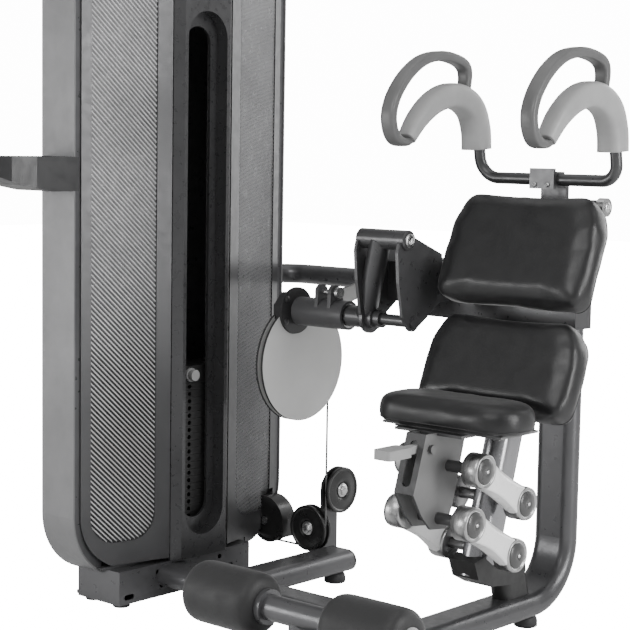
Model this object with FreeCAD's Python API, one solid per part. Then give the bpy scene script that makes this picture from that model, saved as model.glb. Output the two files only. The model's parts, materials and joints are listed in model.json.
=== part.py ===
import FreeCAD, Part
import math
import os

V = FreeCAD.Vector

# Abdominal crunch machine: a weight-stack tower, a J-shaped seat column, a swinging upper body and a seat
# carried on a parallelogram. Modelled about the seat column (x = 0, y = 0 on the column's centre line at the
# floor, +x towards the free side, -y the way the user faces), then moved by SHIFT so that the origin is the
# centre of the footprint on the floor. Millimetres, +z up.
SHIFT = V(341.5, 467.5, 0.0)

# Flat-oval frame tube
TUBE_LONG = 100.0
TUBE_SHORT = 50.0
TUBE_WALL = 3.0
TUBE_Z = 55.0                 # centre of the floor tubes
BRIDGE_X = -829.0
BRIDGE_Z = 722.0
BRIDGE_R = 24.0
BEND_R = 130.0                # centre-line radius of the seat column's bend
COLUMN_FRONT = -950.0
COLUMN_TOP = 742.0
CROSS_Y = -490.0
STAB_X = -542.0
STAB_END = -111.0

# Tower
TOWER_Y = -408.0
TOWER_HALF = 336.0
TOWER_TOP = 1600.0
TOWER_BOTTOM = 62.0
TOWER_CORNER = 150.0
SHELL_FRONT = -775.0
SHELL_REAR = -883.0
SHELL_WALL = 4.0
PANEL_INSET = 20.0
PANEL_T = 4.0
SPINE_HALF = 92.0
SPINE_EDGE_X = -721.0
SPINE_FRONT_X = -705.0
SPINE_BACK_X = -745.0
MESH_IN = 132.0
MESH_OUT = 292.0
BACK_X = -945.0
BASE_X = (-862.0, -722.0)
BASE_Y = (-655.0, -235.0)
BASE_Z = (8.0, 85.0)
ANCHOR_X = -882.0
ANCHOR_Y = (-600.0, -290.0)
ANCHOR_R = 6.5

# Weight stack
STACK_X = -800.0
PLATE_DEPTH = 88.0
PLATE_WIDTH = 290.0
PLATE_PITCH = 17.0
PLATE_COUNT = 19
PLATE_GAP = 0.6
STACK_BOTTOM = 163.0
ROD_SPACING = 105.0
ROD_R = 9.5
ROD_TOP = 1425.0
UPRIGHT_X = (-870.0, -840.0)
UPRIGHT_Y = (-693.0, -163.0)
TOP_BEAM_Z = (1556.0, 1580.0)
HEAD_PLATE_H = 40.0
SELECTOR_R = 11.0
PIN_HOLE_UP = 8.2
PIN_BORE_R = 5.05

# Crunch axis, cam, cable and pulleys
AXIS_Y = -260.0
AXIS_Z = 663.0
CAM_Y = -229.0
CAM_Z = 541.0
CAM_R = 139.0
CAM_HALF = 11.0
BEARING_X = (-545.0, -397.0)
HOUSING_R = 33.0
HOUSING_BORE_R = 27.5
SHAFT_R = 19.0
NOSE_R = 13.0
STOP_Y = AXIS_Y - 10.0
STOP_UP = 50.0
STOP_R = 6.0
HEAD_Y = AXIS_Y - 27.0
HEAD_Z = 842.0
HEAD_R = 22.0
CRANK_R = 24.0
SLEEVE_R = 24.0
ARM_LEFT = (-341.0, -333.0)
ARM_RIGHT = (-224.0, -216.0)
ARM_BOX_Y = (-100.0, -38.0)
ARM_BOX_Z = (660.0, 790.0)
CABLE_X = -572.0
CABLE_R = 2.5
CABLE_TOP = 584.0
GROOVE_R = 48.0                # cable centre line on a pulley
GROOVE_GAP = 0.3
PULLEY_R = 56.0
PULLEY_HALF = 13.0
CABLE_Y = -128.0
TURN_Z = 120.0
P1 = V(CABLE_X, CABLE_Y + GROOVE_R, 214.0)
P2 = V(CABLE_X - GROOVE_R, CABLE_Y, TURN_Z)
P3 = V(STACK_X + GROOVE_R, CABLE_Y, TURN_Z)
TOP_Z = 1500.0
P4 = V(STACK_X, CABLE_Y - GROOVE_R, TOP_Z)
P5 = V(STACK_X, TOWER_Y + GROOVE_R, TOP_Z)
AXLE_R = 6.0
RUN = 0.05                    # radial running clearance

# Seat linkage, pivots as (y, z)
UPPER_BASE = (-272.0, 312.0)
LOWER_BASE = (-303.0, 208.0)
UPPER_SEAT = (-422.0, 400.0)
LOWER_SEAT = (-453.0, 296.0)
LINK_IN = 65.0
LINK_OUT = 105.0
LINK_BOSS_R = 35.5
PIN_R = 12.0
MAST_LENGTH = 316.0
OPEN_PIVOT = 0.4              # play where the parallelogram is opened
SEAT_Z = (477.0, 533.0)
SEAT_Y = (-467.0, -308.0)
SEAT_HALF = 178.0
SEAT_CORNER = 72.0
PAN_T = 5.0
LEVER = (-484.0, 441.0)
LEVER_R = 6.0
CARRIAGE_X = (-40.0, 10.0)

# Pads, harness
PAD_T = 72.0
UPPER_FRONT = ((-243.0, 728.0), (-150.0, 953.0))
UPPER_HALVES = (184.0, 158.0)
LOWER_FRONT = ((-298.0, 503.0), (-216.0, 694.0))
LOWER_HALVES = (187.0, 160.0)
PAD_HINGE = (-30.0, 921.0)
HINGE_R = 8.0
EAR_X = (92.0, 102.0)
KNUCKLE_X = (80.5, 90.0)
BOSS_X = (104.0, 122.0)
U_Y = -78.0
U_Z = 978.0
U_HALF = 174.0
U_R = 13.0
ARCH_BASE_Z = 1050.0

# Foot rollers
ROLLER_Y = -860.0
ROLLER_Z = 176.0
ROLLER_R = 60.0
ROLLER_TUBE_R = 25.0
ROLLER_IN = 86.0
ROLLER_OUT = 262.0


def box(x, y, z):
    return Part.makeBox(x[1] - x[0], y[1] - y[0], z[1] - z[0], V(x[0], y[0], z[0]))


def cyl_x(x, y, z, r):
    return Part.makeCylinder(r, x[1] - x[0], V(x[0], y, z), V(1, 0, 0))


def cyl_y(y, x, z, r):
    return Part.makeCylinder(r, y[1] - y[0], V(x, y[0], z), V(0, 1, 0))


def cyl_z(z, x, y, r):
    return Part.makeCylinder(r, z[1] - z[0], V(x, y, z[0]), V(0, 0, 1))


def fuse(shapes):
    return shapes[0].multiFuse(shapes[1:]).removeSplitter()


def polygon_x(points, x):
    """Prism of a (y, z) outline between two x values."""
    wire = Part.makePolygon([V(x[0], p[0], p[1]) for p in points + points[:1]])
    return Part.Face(wire).extrude(V(x[1] - x[0], 0, 0))


def polygon_z(points, z):
    """Prism of an (x, y) outline between two z values."""
    wire = Part.makePolygon([V(p[0], p[1], z[0]) for p in points + points[:1]])
    return Part.Face(wire).extrude(V(0, 0, z[1] - z[0]))


def edges_along(shape, axis, test=None):
    """Straight edges parallel to an axis, for rounding."""
    found = []
    for edge in shape.Edges:
        if not isinstance(edge.Curve, (Part.Line, Part.LineSegment)):
            continue
        way = edge.Vertexes[-1].Point - edge.Vertexes[0].Point
        if way.Length > 1e-6 and way.normalize().cross(axis).Length < 1e-4:
            if test is None or test(edge.CenterOfMass):
                found.append(edge)
    return found


def round_rect_x(y, z, x, r):
    """Rounded rectangle in the y-z plane between two x values."""
    block = box(x, y, z)
    return block.makeFillet(r, edges_along(block, V(1, 0, 0)))


def oval_face(centre, long_way, short_way, long_size, short_size):
    """Flat-oval section: two straight sides joined by half circles."""
    half = (long_size - short_size) / 2.0
    r = short_size / 2.0
    a = centre + long_way * half
    b = centre - long_way * half
    top = Part.LineSegment(b + short_way * r, a + short_way * r).toShape()
    end_a = Part.Arc(a + short_way * r, a + long_way * r, a - short_way * r).toShape()
    low = Part.LineSegment(a - short_way * r, b - short_way * r).toShape()
    end_b = Part.Arc(b - short_way * r, b - long_way * r, b + short_way * r).toShape()
    return Part.Face(Part.Wire([top, end_a, low, end_b]))


def oval_bar(start, way, long_way, long_size=TUBE_LONG, short_size=TUBE_SHORT):
    unit = V(way).normalize()
    return oval_face(start, long_way, unit.cross(long_way), long_size, short_size).extrude(way)


def oval_tube(start, way, long_way, long_size=TUBE_LONG, short_size=TUBE_SHORT):
    outer = oval_bar(start, way, long_way, long_size, short_size)
    inner = oval_bar(start, way, long_way, long_size - 2 * TUBE_WALL, short_size - 2 * TUBE_WALL)
    return outer.cut(inner)


def rounded_path(points, radii):
    """Straight runs through points, joined by tangent arcs of the given radii."""
    edges = []
    last = points[0]
    for before, corner, after, r in zip(points, points[1:], points[2:], radii):
        back = (before - corner).normalize()
        ahead = (after - corner).normalize()
        half = back.getAngle(ahead) / 2.0
        reach = r / math.tan(half)
        start = corner + back * reach
        end = corner + ahead * reach
        middle_way = (back + ahead).normalize()
        middle = corner + middle_way * (r / math.sin(half) - r)
        if (start - last).Length > 1e-6:
            edges.append(Part.LineSegment(last, start).toShape())
        edges.append(Part.Arc(start, middle, end).toShape())
        last = end
    if (points[-1] - last).Length > 1e-6:
        edges.append(Part.LineSegment(last, points[-1]).toShape())
    return Part.Wire(edges)


def pipe(points, radii, r, bore=0.0):
    """Round bar or tube swept along a path with rounded corners."""
    path = rounded_path(points, radii)
    way = points[1] - points[0]
    ring = Part.Wire([Part.Circle(points[0], way, r).toShape()])
    solid = path.makePipeShell([ring], True, False)
    if bore > 0:
        hole = Part.Wire([Part.Circle(points[0], way, bore).toShape()])
        solid = solid.cut(path.makePipeShell([hole], True, False))
    return solid


def bolt_x(x, y, z, r=6.0, head=5.0):
    """Button-headed bolt seen on a face that looks along +x."""
    dome = Part.makeSphere(r * 1.5, V(x - r * 0.85, y, z))
    return dome.common(cyl_x((x, x + head), y, z, r))


def ring_x(x, y, z, r, bore):
    return cyl_x(x, y, z, r).cut(cyl_x((x[0] - 1, x[1] + 1), y, z, bore))

# ---------------------------------------------------------------- frame

def column_solid(shrink):
    """The seat column's outline, drawn in by shrink: floor run, quarter bend and upright."""
    long_size = TUBE_LONG - 2 * shrink
    short_size = TUBE_SHORT - 2 * shrink
    floor = oval_face(V(0, COLUMN_FRONT, TUBE_Z), V(1, 0, 0), V(0, 0, 1), long_size, short_size)
    run = floor.extrude(V(0, -BEND_R - COLUMN_FRONT, 0))
    start = oval_face(V(0, -BEND_R, TUBE_Z), V(1, 0, 0), V(0, 0, 1), long_size, short_size)
    bend = start.revolve(V(0, -BEND_R, TUBE_Z + BEND_R), V(1, 0, 0), 90)
    top = oval_face(V(0, 0, TUBE_Z + BEND_R), V(1, 0, 0), V(0, 1, 0), long_size, short_size)
    upright = top.extrude(V(0, 0, COLUMN_TOP - TUBE_Z - BEND_R))
    return fuse([run, bend, upright])


def seat_column():
    return column_solid(0).cut(column_solid(TUBE_WALL))


def cross_beam():
    start = V(BASE_X[1], CROSS_Y, TUBE_Z)
    way = V(-25 - BASE_X[1], 0, 0)
    return oval_tube(start, way, V(0, 1, 0)).cut(column_solid(0))


def stabiliser_beam():
    tube = oval_tube(V(STAB_X, CROSS_Y, TUBE_Z), V(0, STAB_END - CROSS_Y, 0), V(1, 0, 0))
    start = V(BASE_X[1], CROSS_Y, TUBE_Z)
    return tube.cut(oval_bar(start, V(-25 - BASE_X[1], 0, 0), V(0, 1, 0)))


def tube_cap(centre, way, thickness, lip=8.0):
    """Plug that closes a flat-oval tube's end: a domed face and a collar inside the bore."""
    unit = V(way).normalize()
    face = oval_bar(centre, unit * thickness, V(1, 0, 0), TUBE_LONG, TUBE_SHORT)
    plug = oval_bar(centre - unit * lip, unit * lip, V(1, 0, 0),
                    TUBE_LONG - 2 * TUBE_WALL, TUBE_SHORT - 2 * TUBE_WALL)
    return fuse([face, plug])


def column_cap():
    return tube_cap(V(0, 0, COLUMN_TOP), V(0, 0, 1), 5.0)


def tube_caps():
    return [tube_cap(V(0, COLUMN_FRONT, TUBE_Z), V(0, -1, 0), 7.0),
            column_cap(),
            tube_cap(V(STAB_X, STAB_END, TUBE_Z), V(0, 1, 0), 7.0)]


def foot(x, y):
    """Rubber foot: a block with rounded corners under a floor tube."""
    block = box((x - 47, x + 47), (y - 26, y + 26), (0, TUBE_Z - TUBE_SHORT / 2))
    return block.makeFillet(11, edges_along(block, V(0, 0, 1)))


def column_feet():
    return [foot(0, -880), foot(0, -112), foot(STAB_X, -125)]


def tower_feet():
    pads = []
    for x in (BASE_X[0] + 26, BASE_X[1] - 22):
        for y in (BASE_Y[0] + 26, BASE_Y[1] - 30):
            pads.append(box((x - 20, x + 20), (y - 24, y + 24), (0, BASE_Z[0])))
    return pads


def tower_base_beam():
    """Steel box under the tower, closed in front, with bolt holes and slots in its +x face."""
    outer = box(BASE_X, BASE_Y, BASE_Z)
    inner = box((BASE_X[0] + 4, BASE_X[1] - 4), (BASE_Y[0] + 4, BASE_Y[1] - 4),
                (BASE_Z[0] + 4, BASE_Z[1] - 4))
    beam = outer.cut(inner)
    wall = (BASE_X[1] - 8, BASE_X[1] + 4)
    for y, z, r in ((-538, 66, 6), (-525, 33, 6), (-337, 68, 6)):
        beam = beam.cut(cyl_x(wall, y, z, r))
    for y, z in ((-625, 24), (-306, 40), (-276, 24)):
        slot = fuse([cyl_x(wall, y - 9, z, 6), cyl_x(wall, y + 9, z, 6),
                     box(wall, (y - 9, y + 9), (z - 6, z + 6))])
        beam = beam.cut(slot)
    joint = oval_bar(V(BASE_X[1] - 10, CROSS_Y, TUBE_Z), V(20, 0, 0), V(0, 1, 0), 88, 38)
    return beam.cut(joint)


def floor_anchor_tabs():
    """Ears with a bolt hole, welded under the edge of the base beam, to fix the machine to a floor."""
    reach = 6.0
    tabs = []
    for y in ANCHOR_Y:
        tab = box((ANCHOR_X - 20, BASE_X[0] + reach), (y - 25, y + 25), (0, BASE_Z[0]))
        tabs.append(tab.cut(cyl_z((-1, BASE_Z[0] + 1), ANCHOR_X, y, ANCHOR_R)))
    return tabs


def bridge_tube():
    """Round tube from the tower's side to the top of the seat column."""
    start = V(BRIDGE_X, TOWER_Y + TOWER_HALF - 20, BRIDGE_Z)
    points = [start, V(BRIDGE_X, 0, BRIDGE_Z), V(-TUBE_SHORT / 2, 0, BRIDGE_Z)]
    tube = pipe(points, [75], BRIDGE_R, BRIDGE_R - TUBE_WALL)
    return tube.cut(column_solid(0)).cut(column_cap())


# ---------------------------------------------------------------- tower

def shell_outline(grow, x):
    y = (TOWER_Y - TOWER_HALF - grow, TOWER_Y + TOWER_HALF + grow)
    z = (TOWER_BOTTOM - grow, TOWER_TOP + grow)
    return round_rect_x(y, z, x, TOWER_CORNER + grow)


def base_footprint(front, top):
    """Room for the base beam where it stands inside the tower's lower edge."""
    return box((BASE_X[0] - 4, front), (BASE_Y[0] - 4, BASE_Y[1] + 4), (TOWER_BOTTOM - 10, top))


def tower_shell():
    band = shell_outline(0, (SHELL_REAR, SHELL_FRONT))
    hollow = shell_outline(-SHELL_WALL, (SHELL_REAR - 1, SHELL_FRONT + 1))
    shell = band.cut(hollow).cut(base_footprint(SHELL_FRONT + 1, BASE_Z[1] + 5)).cut(pulley_space())
    return shell.cut(cyl_y((-90, -60), BRIDGE_X, BRIDGE_Z, BRIDGE_R))


def pulley_space():
    """Opening for the corner pulley where the cable enters the tower."""
    half = 28.0
    return box((-870, -660), (CABLE_Y - half, CABLE_Y + half), (40, 192))


def facet(side, thickness, start_inset):
    """Front plate of one side, leaning back from the spine to the shell's rim."""
    inner = SPINE_HALF + 3.0
    outer = TOWER_HALF - PANEL_INSET
    rim_x = SHELL_FRONT + 1.0
    x_in = SPINE_EDGE_X - start_inset
    x_out = rim_x - start_inset
    points = [(x_in, TOWER_Y + side * inner), (x_out, TOWER_Y + side * outer),
              (x_out - thickness, TOWER_Y + side * outer), (x_in - thickness, TOWER_Y + side * inner)]
    return polygon_z(points, (TOWER_BOTTOM, TOWER_TOP))


def window(side, grow):
    y = sorted((TOWER_Y + side * (MESH_IN - grow), TOWER_Y + side * (MESH_OUT + grow)))
    z = (146 - grow, TOWER_TOP - 66 + grow)
    block = box((-850, -650), y, z)
    low = edges_along(block, V(1, 0, 0))
    return block.makeFillet(60 + grow, low)


def front_panel(side):
    plate = facet(side, PANEL_T, 0).common(shell_outline(-PANEL_INSET, (-850, -650)))
    plate = plate.cut(base_footprint(SPINE_FRONT_X, BASE_Z[1] + 9))
    return plate.cut(window(side, 0)).cut(pulley_space())


def mesh_panel(side):
    sheet = facet(side, 1.5, PANEL_T).common(window(side, 14))
    sheet = sheet.common(shell_outline(-PANEL_INSET - 4, (-850, -650)))
    return sheet.cut(pulley_space())


def spine():
    """Proud centre strip with a scooped, round-ended slot for the selector pin."""
    bevel = 20.0
    points = [(SPINE_BACK_X, -SPINE_HALF), (SPINE_EDGE_X, -SPINE_HALF), (SPINE_FRONT_X, -SPINE_HALF + bevel),
              (SPINE_FRONT_X, SPINE_HALF - bevel), (SPINE_EDGE_X, SPINE_HALF), (SPINE_BACK_X, SPINE_HALF)]
    body = polygon_z([(p[0], TOWER_Y + p[1]) for p in points], (BASE_Z[1] + 1, TOWER_TOP - 2))
    scoop = slot_cut(62, 137, 1341, (-738, SPINE_FRONT_X + 5))
    through = slot_cut(40, 172, 1308, (-760, -700))
    return body.cut(scoop).cut(through)


def slot_cut(half, low, high, x):
    y = (TOWER_Y - half, TOWER_Y + half)
    return round_rect_x(y, (low, high), x, half - 0.5)


def back_panel():
    outer = TOWER_HALF - PANEL_INSET
    front = SHELL_REAR - 1.0
    points = [(front, -outer), (BACK_X, -150), (BACK_X, 150), (front, outer), (front + PANEL_T, outer),
              (BACK_X + PANEL_T, 150), (BACK_X + PANEL_T, -150), (front + PANEL_T, -outer)]
    plate = polygon_z([(p[0], TOWER_Y + p[1]) for p in points], (TOWER_BOTTOM, TOWER_TOP))
    return plate.common(shell_outline(-PANEL_INSET, (BACK_X - 5, SHELL_REAR + 10)))


def rim_frame(x):
    """Thin dark frame that closes the gap between the shell and a panel."""
    outer = shell_outline(-SHELL_WALL, x)
    inner = shell_outline(-PANEL_INSET - 12, (x[0] - 1, x[1] + 1))
    stack_room = box((x[0] - 1, x[1] + 1), (BASE_Y[0] - 4, BASE_Y[1] + 4), (TOWER_BOTTOM - 10, 115))
    return outer.cut(inner).cut(pulley_space()).cut(stack_room)


def tower_uprights():
    posts = []
    for y in UPRIGHT_Y:
        post = box(UPRIGHT_X, (y - 20, y + 20), (BASE_Z[1] + 7, TOP_BEAM_Z[0]))
        posts.append(post.common(shell_outline(-SHELL_WALL, (-880, -740))))
    return posts


def stack_floor():
    """Plate on the base beam that carries the guide rods and the tower's uprights."""
    plate = box((-872, -760), (-700, -120), (BASE_Z[1], BASE_Z[1] + 7))
    plate = plate.common(shell_outline(-SHELL_WALL, (-880, -740)))
    return plate.cut(pulley_space())


def top_beam():
    y = (UPRIGHT_Y[0] - 15, UPRIGHT_Y[1] + 45)
    beam = box((-872, -786), y, TOP_BEAM_Z)
    inner = box((-868, -790), (y[0] + 4, y[1] - 4), (TOP_BEAM_Z[0] + 4, TOP_BEAM_Z[1] - 4))
    return beam.cut(inner).common(shell_outline(-SHELL_WALL, (-880, -740)))


def rod_beam():
    """Cross plate below the top pulleys that holds the guide rods, with a hole for the cable."""
    plate = box((UPRIGHT_X[1], -784), (UPRIGHT_Y[0] - 20, UPRIGHT_Y[1] + 20), (ROD_TOP, ROD_TOP + 12))
    return plate.cut(cyl_z((ROD_TOP - 1, ROD_TOP + 13), STACK_X, TOWER_Y, 12))


def guide_rods():
    return [cyl_z((BASE_Z[1] + 7, ROD_TOP), STACK_X, TOWER_Y + s * ROD_SPACING, ROD_R) for s in (-1, 1)]


def stack_bumpers():
    rings = []
    for s in (-1, 1):
        y = TOWER_Y + s * ROD_SPACING
        ring = cyl_z((BASE_Z[1] + 7, STACK_BOTTOM), STACK_X, y, 24)
        rings.append(ring.cut(cyl_z((80, STACK_BOTTOM + 5), STACK_X, y, ROD_R + 0.5)))
    return rings


def plate_block(z, rod_bore, centre_bore):
    x = (STACK_X - PLATE_DEPTH / 2, STACK_X + PLATE_DEPTH / 2)
    y = (TOWER_Y - PLATE_WIDTH / 2, TOWER_Y + PLATE_WIDTH / 2)
    block = box(x, y, z)
    for s in (-1, 1):
        block = block.cut(cyl_z((z[0] - 1, z[1] + 1), STACK_X, TOWER_Y + s * ROD_SPACING, rod_bore))
    if centre_bore:
        block = block.cut(cyl_z((z[0] - 1, z[1] + 1), STACK_X, TOWER_Y, centre_bore))
    return block


def weight_plates():
    plates = []
    for i in range(PLATE_COUNT):
        low = STACK_BOTTOM + i * PLATE_PITCH
        plate = plate_block((low, low + PLATE_PITCH - PLATE_GAP), ROD_R + 1.5, SELECTOR_R + 2.0)
        pin_hole = cyl_x((STACK_X + 12, STACK_X + PLATE_DEPTH / 2 + 1), TOWER_Y, low + PIN_HOLE_UP, 5.5)
        plates.append(plate.cut(pin_hole))
    return plates


STACK_TOP = STACK_BOTTOM + PLATE_COUNT * PLATE_PITCH
PIN_Z = STACK_TOP + HEAD_PLATE_H / 2


def head_plate():
    block = plate_block((STACK_TOP, STACK_TOP + HEAD_PLATE_H), ROD_R + 0.05 + 3.0, SELECTOR_R)
    return block.cut(cyl_x((STACK_X, STACK_X + 60), TOWER_Y, PIN_Z, PIN_BORE_R))


def slide_bushes():
    bushes = []
    for s in (-1, 1):
        y = TOWER_Y + s * ROD_SPACING
        z = (STACK_TOP, STACK_TOP + HEAD_PLATE_H + 6)
        bush = cyl_z(z, STACK_X, y, ROD_R + 3.05)
        collar = cyl_z((z[1] - 6, z[1]), STACK_X, y, ROD_R + 8)
        bore = cyl_z((z[0] - 1, z[1] + 1), STACK_X, y, ROD_R + RUN)
        bushes.append(fuse([bush, collar]).cut(bore))
    return bushes


def selector_rod():
    low = STACK_BOTTOM + 15
    rod = cyl_z((low, STACK_TOP + HEAD_PLATE_H + 24), STACK_X, TOWER_Y, SELECTOR_R)
    rod = rod.cut(cyl_x((STACK_X - 20, STACK_X + 20), TOWER_Y, PIN_Z, PIN_BORE_R))
    for i in range(1, PLATE_COUNT):
        z = STACK_BOTTOM + i * PLATE_PITCH + PIN_HOLE_UP
        rod = rod.cut(cyl_x((STACK_X - 20, STACK_X + 20), TOWER_Y, z, PIN_BORE_R))
    return rod


def selector_pin():
    front = STACK_X + PLATE_DEPTH / 2
    shaft = cyl_x((STACK_X - 8, front + 4), TOWER_Y, PIN_Z, 5.0)
    knob = cyl_x((front + 1, front + 7), TOWER_Y, PIN_Z, 16)
    grip = cyl_x((front + 7, front + 20), TOWER_Y, PIN_Z, 13)
    return fuse([shaft, knob, grip])


def side_tray():
    """D-shaped holder on the tower's front side: curved wall, open cup, underside swept up to its end."""
    face = TOWER_Y - TOWER_HALF
    outline = [(-878, face), (-880, face - 110), (-872, face - 165), (-852, face - 200), (-822, face - 216),
               (-795, face - 202), (-776, face - 168), (-765, face - 110), (-757, face)]
    solid = polygon_z(outline, (936, 1010))
    inner = [(x + (8 if x < -830 else -8), y + (8 if y < face else -5)) for x, y in outline]
    hollow = polygon_z(inner, (990, 1011))
    swept = [(face - 40, 930), (face - 150, 950), (face - 230, 982), (face - 230, 930)]
    sweep = polygon_x(swept, (-890, -740))
    return solid.cut(hollow).cut(sweep)


def pulley_cover():
    """Black half-round guard over the corner pulley, open below where the cable enters."""
    r = PULLEY_R + 6
    inner_r = PULLEY_R + 2.5
    outer_y = (CABLE_Y - 23, CABLE_Y + 23)
    inner_y = (CABLE_Y - 17, CABLE_Y + 17)
    skirt = box((P3.x - r, P3.x + r), outer_y, (P3.z - 34, P3.z))
    outer = fuse([cyl_y(outer_y, P3.x, P3.z, r), skirt]).cut(box((-900, -600), (-200, 0), (0, P3.z - 34)))
    room = box((P3.x - inner_r, P3.x + inner_r), inner_y, (P3.z - 90, P3.z))
    body = outer.cut(cyl_y(inner_y, P3.x, P3.z, inner_r)).cut(room)
    cable_exit = cyl_z((P3.z, P3.z + 80), STACK_X, CABLE_Y, 6)
    return body.cut(cable_exit).cut(cyl_y((CABLE_Y - 30, CABLE_Y + 30), P3.x, P3.z, AXLE_R))

# ---------------------------------------------------------------- cable drive

def grooved_pulley(centre, axis):
    """Cable pulley with a flared rim groove, chamfered edges and a bored hub."""
    half = PULLEY_HALF
    floor_r = GROOVE_R - CABLE_R - GROOVE_GAP
    slot_half = CABLE_R + GROOVE_GAP
    body = Part.makeCylinder(PULLEY_R, 2 * half, centre - axis * half, axis)
    body = body.makeChamfer(2.5, [e for e in body.Edges if isinstance(e.Curve, Part.Circle)])
    slot = Part.makeCylinder(PULLEY_R + 2, 2 * slot_half, centre - axis * slot_half, axis)
    slot = slot.cut(Part.makeCylinder(floor_r, 2 * half, centre - axis * half, axis))
    flare = Part.makeTorus(PULLEY_R + 1, 6.0, centre, axis)
    bore = Part.makeCylinder(AXLE_R + RUN, 4 * half, centre - axis * 2 * half, axis)
    return body.cut(slot).cut(flare).cut(bore)


def pulley_axle(centre, axis, reach_back, reach_front):
    """Bolt through a pulley with a washer head on its front side."""
    shaft = Part.makeCylinder(AXLE_R, reach_back + reach_front, centre - axis * reach_back, axis)
    head = Part.makeCylinder(10, 3, centre + axis * reach_front, axis)
    return fuse([shaft, head])


def pulley_axles():
    x_way = V(1, 0, 0)
    y_way = V(0, -1, 0)
    clear = PULLEY_HALF + 1
    return [pulley_axle(P1, x_way, CABLE_X - POST_X[0], clear),
            pulley_axle(P2, y_way, ARM_Y[1] - CABLE_Y, clear),
            pulley_axle(P3, y_way, 23, 23), pulley_axle(P4, x_way, 18, PULLEY_HALF + 5),
            pulley_axle(P5, x_way, 18, PULLEY_HALF + 5)]


POST_X = (-603.0, -593.0)
ARM_Y = (-112.0, -104.0)


def pulley_post():
    """Flat bar beside the stabiliser, with a foot along its side, that carries the two lower pulleys."""
    post = box(POST_X, (ARM_Y[0], P1.y + 20), (42, P1.z + 26))
    post = post.makeFillet(18, edges_along(post, V(1, 0, 0), lambda c: c.z > P1.z))
    side = STAB_X - TUBE_LONG / 2 + 3
    flange = box((POST_X[0], side), (ARM_Y[0] - 88, ARM_Y[0]), (42, 64))
    arm = box((P2.x - 22, POST_X[1]), ARM_Y, (P2.z - 22, P2.z + 22))
    stab = oval_bar(V(STAB_X, CROSS_Y, TUBE_Z), V(0, STAB_END - CROSS_Y, 0), V(1, 0, 0))
    post = fuse([post, flange, arm]).cut(stab)
    post = post.cut(cyl_x((POST_X[0] - 5, POST_X[1] + 5), P1.y, P1.z, AXLE_R))
    return post.cut(cyl_y((ARM_Y[0] - 5, ARM_Y[1] + 5), P2.x, P2.z, AXLE_R))


def top_pulley_brackets():
    plates = []
    for x in ((STACK_X - 20, STACK_X - 16), (STACK_X + 14, STACK_X + 18)):
        plate = box(x, (P5.y - 26, P4.y + 26), (1480, TOP_BEAM_Z[0]))
        for centre in (P4, P5):
            plate = plate.cut(cyl_x((x[0] - 1, x[1] + 1), centre.y, centre.z, AXLE_R))
        plates.append(plate)
    return plates


def drive_cable():
    """Steel cable: cam anchor, deflector pulley, two turning pulleys, then up the tower to the head plate."""
    top = TOP_Z + GROOVE_R
    low = P2.z - GROOVE_R
    points = [V(CABLE_X, CABLE_Y, CABLE_TOP), V(CABLE_X, CABLE_Y, low), V(STACK_X, CABLE_Y, low),
              V(STACK_X, CABLE_Y, top), V(STACK_X, TOWER_Y, top),
              V(STACK_X, TOWER_Y, STACK_TOP + HEAD_PLATE_H + 26)]
    return pipe(points, [GROOVE_R] * 4, CABLE_R)


HUB_BOLTS = ((AXIS_Y - 35, AXIS_Z + 28), (AXIS_Y - 38, AXIS_Z - 24))
HUB_T = 6.0


def cam():
    """Eccentric drive cam: a drum between two side plates, keyed to the main shaft by a bolted hub."""
    x = (CABLE_X - CAM_HALF, CABLE_X + CAM_HALF)
    plates = [cyl_x((x[0], x[0] + 6), CAM_Y, CAM_Z, CAM_R), cyl_x((x[1] - 6, x[1]), CAM_Y, CAM_Z, CAM_R)]
    drum = cyl_x((x[0] + 5, x[1] - 5), CAM_Y - 20, CAM_Z + 10, CAM_R - 52)
    lug = polygon_x([(AXIS_Y - 50, AXIS_Z - 60), (AXIS_Y - 50, AXIS_Z + 14), (AXIS_Y - 22, AXIS_Z + 42),
                     (AXIS_Y + 22, AXIS_Z + 42), (AXIS_Y + 46, AXIS_Z + 10), (AXIS_Y + 60, AXIS_Z - 40)], x)
    hub = cyl_x((x[1], x[1] + HUB_T), AXIS_Y, AXIS_Z, 54)
    body = fuse(plates + [drum, lug, hub])
    body = body.cut(cyl_x((x[0] - 5, x[1] + 20), AXIS_Y, AXIS_Z, SHAFT_R))
    for y, z in HUB_BOLTS:
        body = body.cut(cyl_x((x[1] + 1, x[1] + 12), y, z, 5))
    return body


def cam_bolts():
    bolts = []
    face = CABLE_X + CAM_HALF + HUB_T
    for y, z in HUB_BOLTS:
        bolts.append(fuse([cyl_x((face - 5, face), y, z, 5), bolt_x(face, y, z, 7.5)]))
    return bolts

# ---------------------------------------------------------------- crunch arm

def bearing_housing():
    body = ring_x(BEARING_X, AXIS_Y, AXIS_Z, HOUSING_R, HOUSING_BORE_R)
    outline = [(AXIS_Y + 12, AXIS_Z + 26), (-6, BRIDGE_Z + 16), (-6, BRIDGE_Z - 14),
               (AXIS_Y + 26, AXIS_Z - 18)]
    web = polygon_x(outline, (-522, -512))
    span = (-600, -400)
    web = web.cut(cyl_x(span, AXIS_Y, AXIS_Z, HOUSING_R - 3)).cut(cyl_x(span, 0, BRIDGE_Z, BRIDGE_R))
    return fuse([body, web])


def bearing_bushes():
    return [ring_x((BEARING_X[0], BEARING_X[0] + 24), AXIS_Y, AXIS_Z, HOUSING_BORE_R, SHAFT_R + RUN),
            ring_x((BEARING_X[1] - 24, BEARING_X[1]), AXIS_Y, AXIS_Z, HOUSING_BORE_R, SHAFT_R + RUN)]


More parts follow.
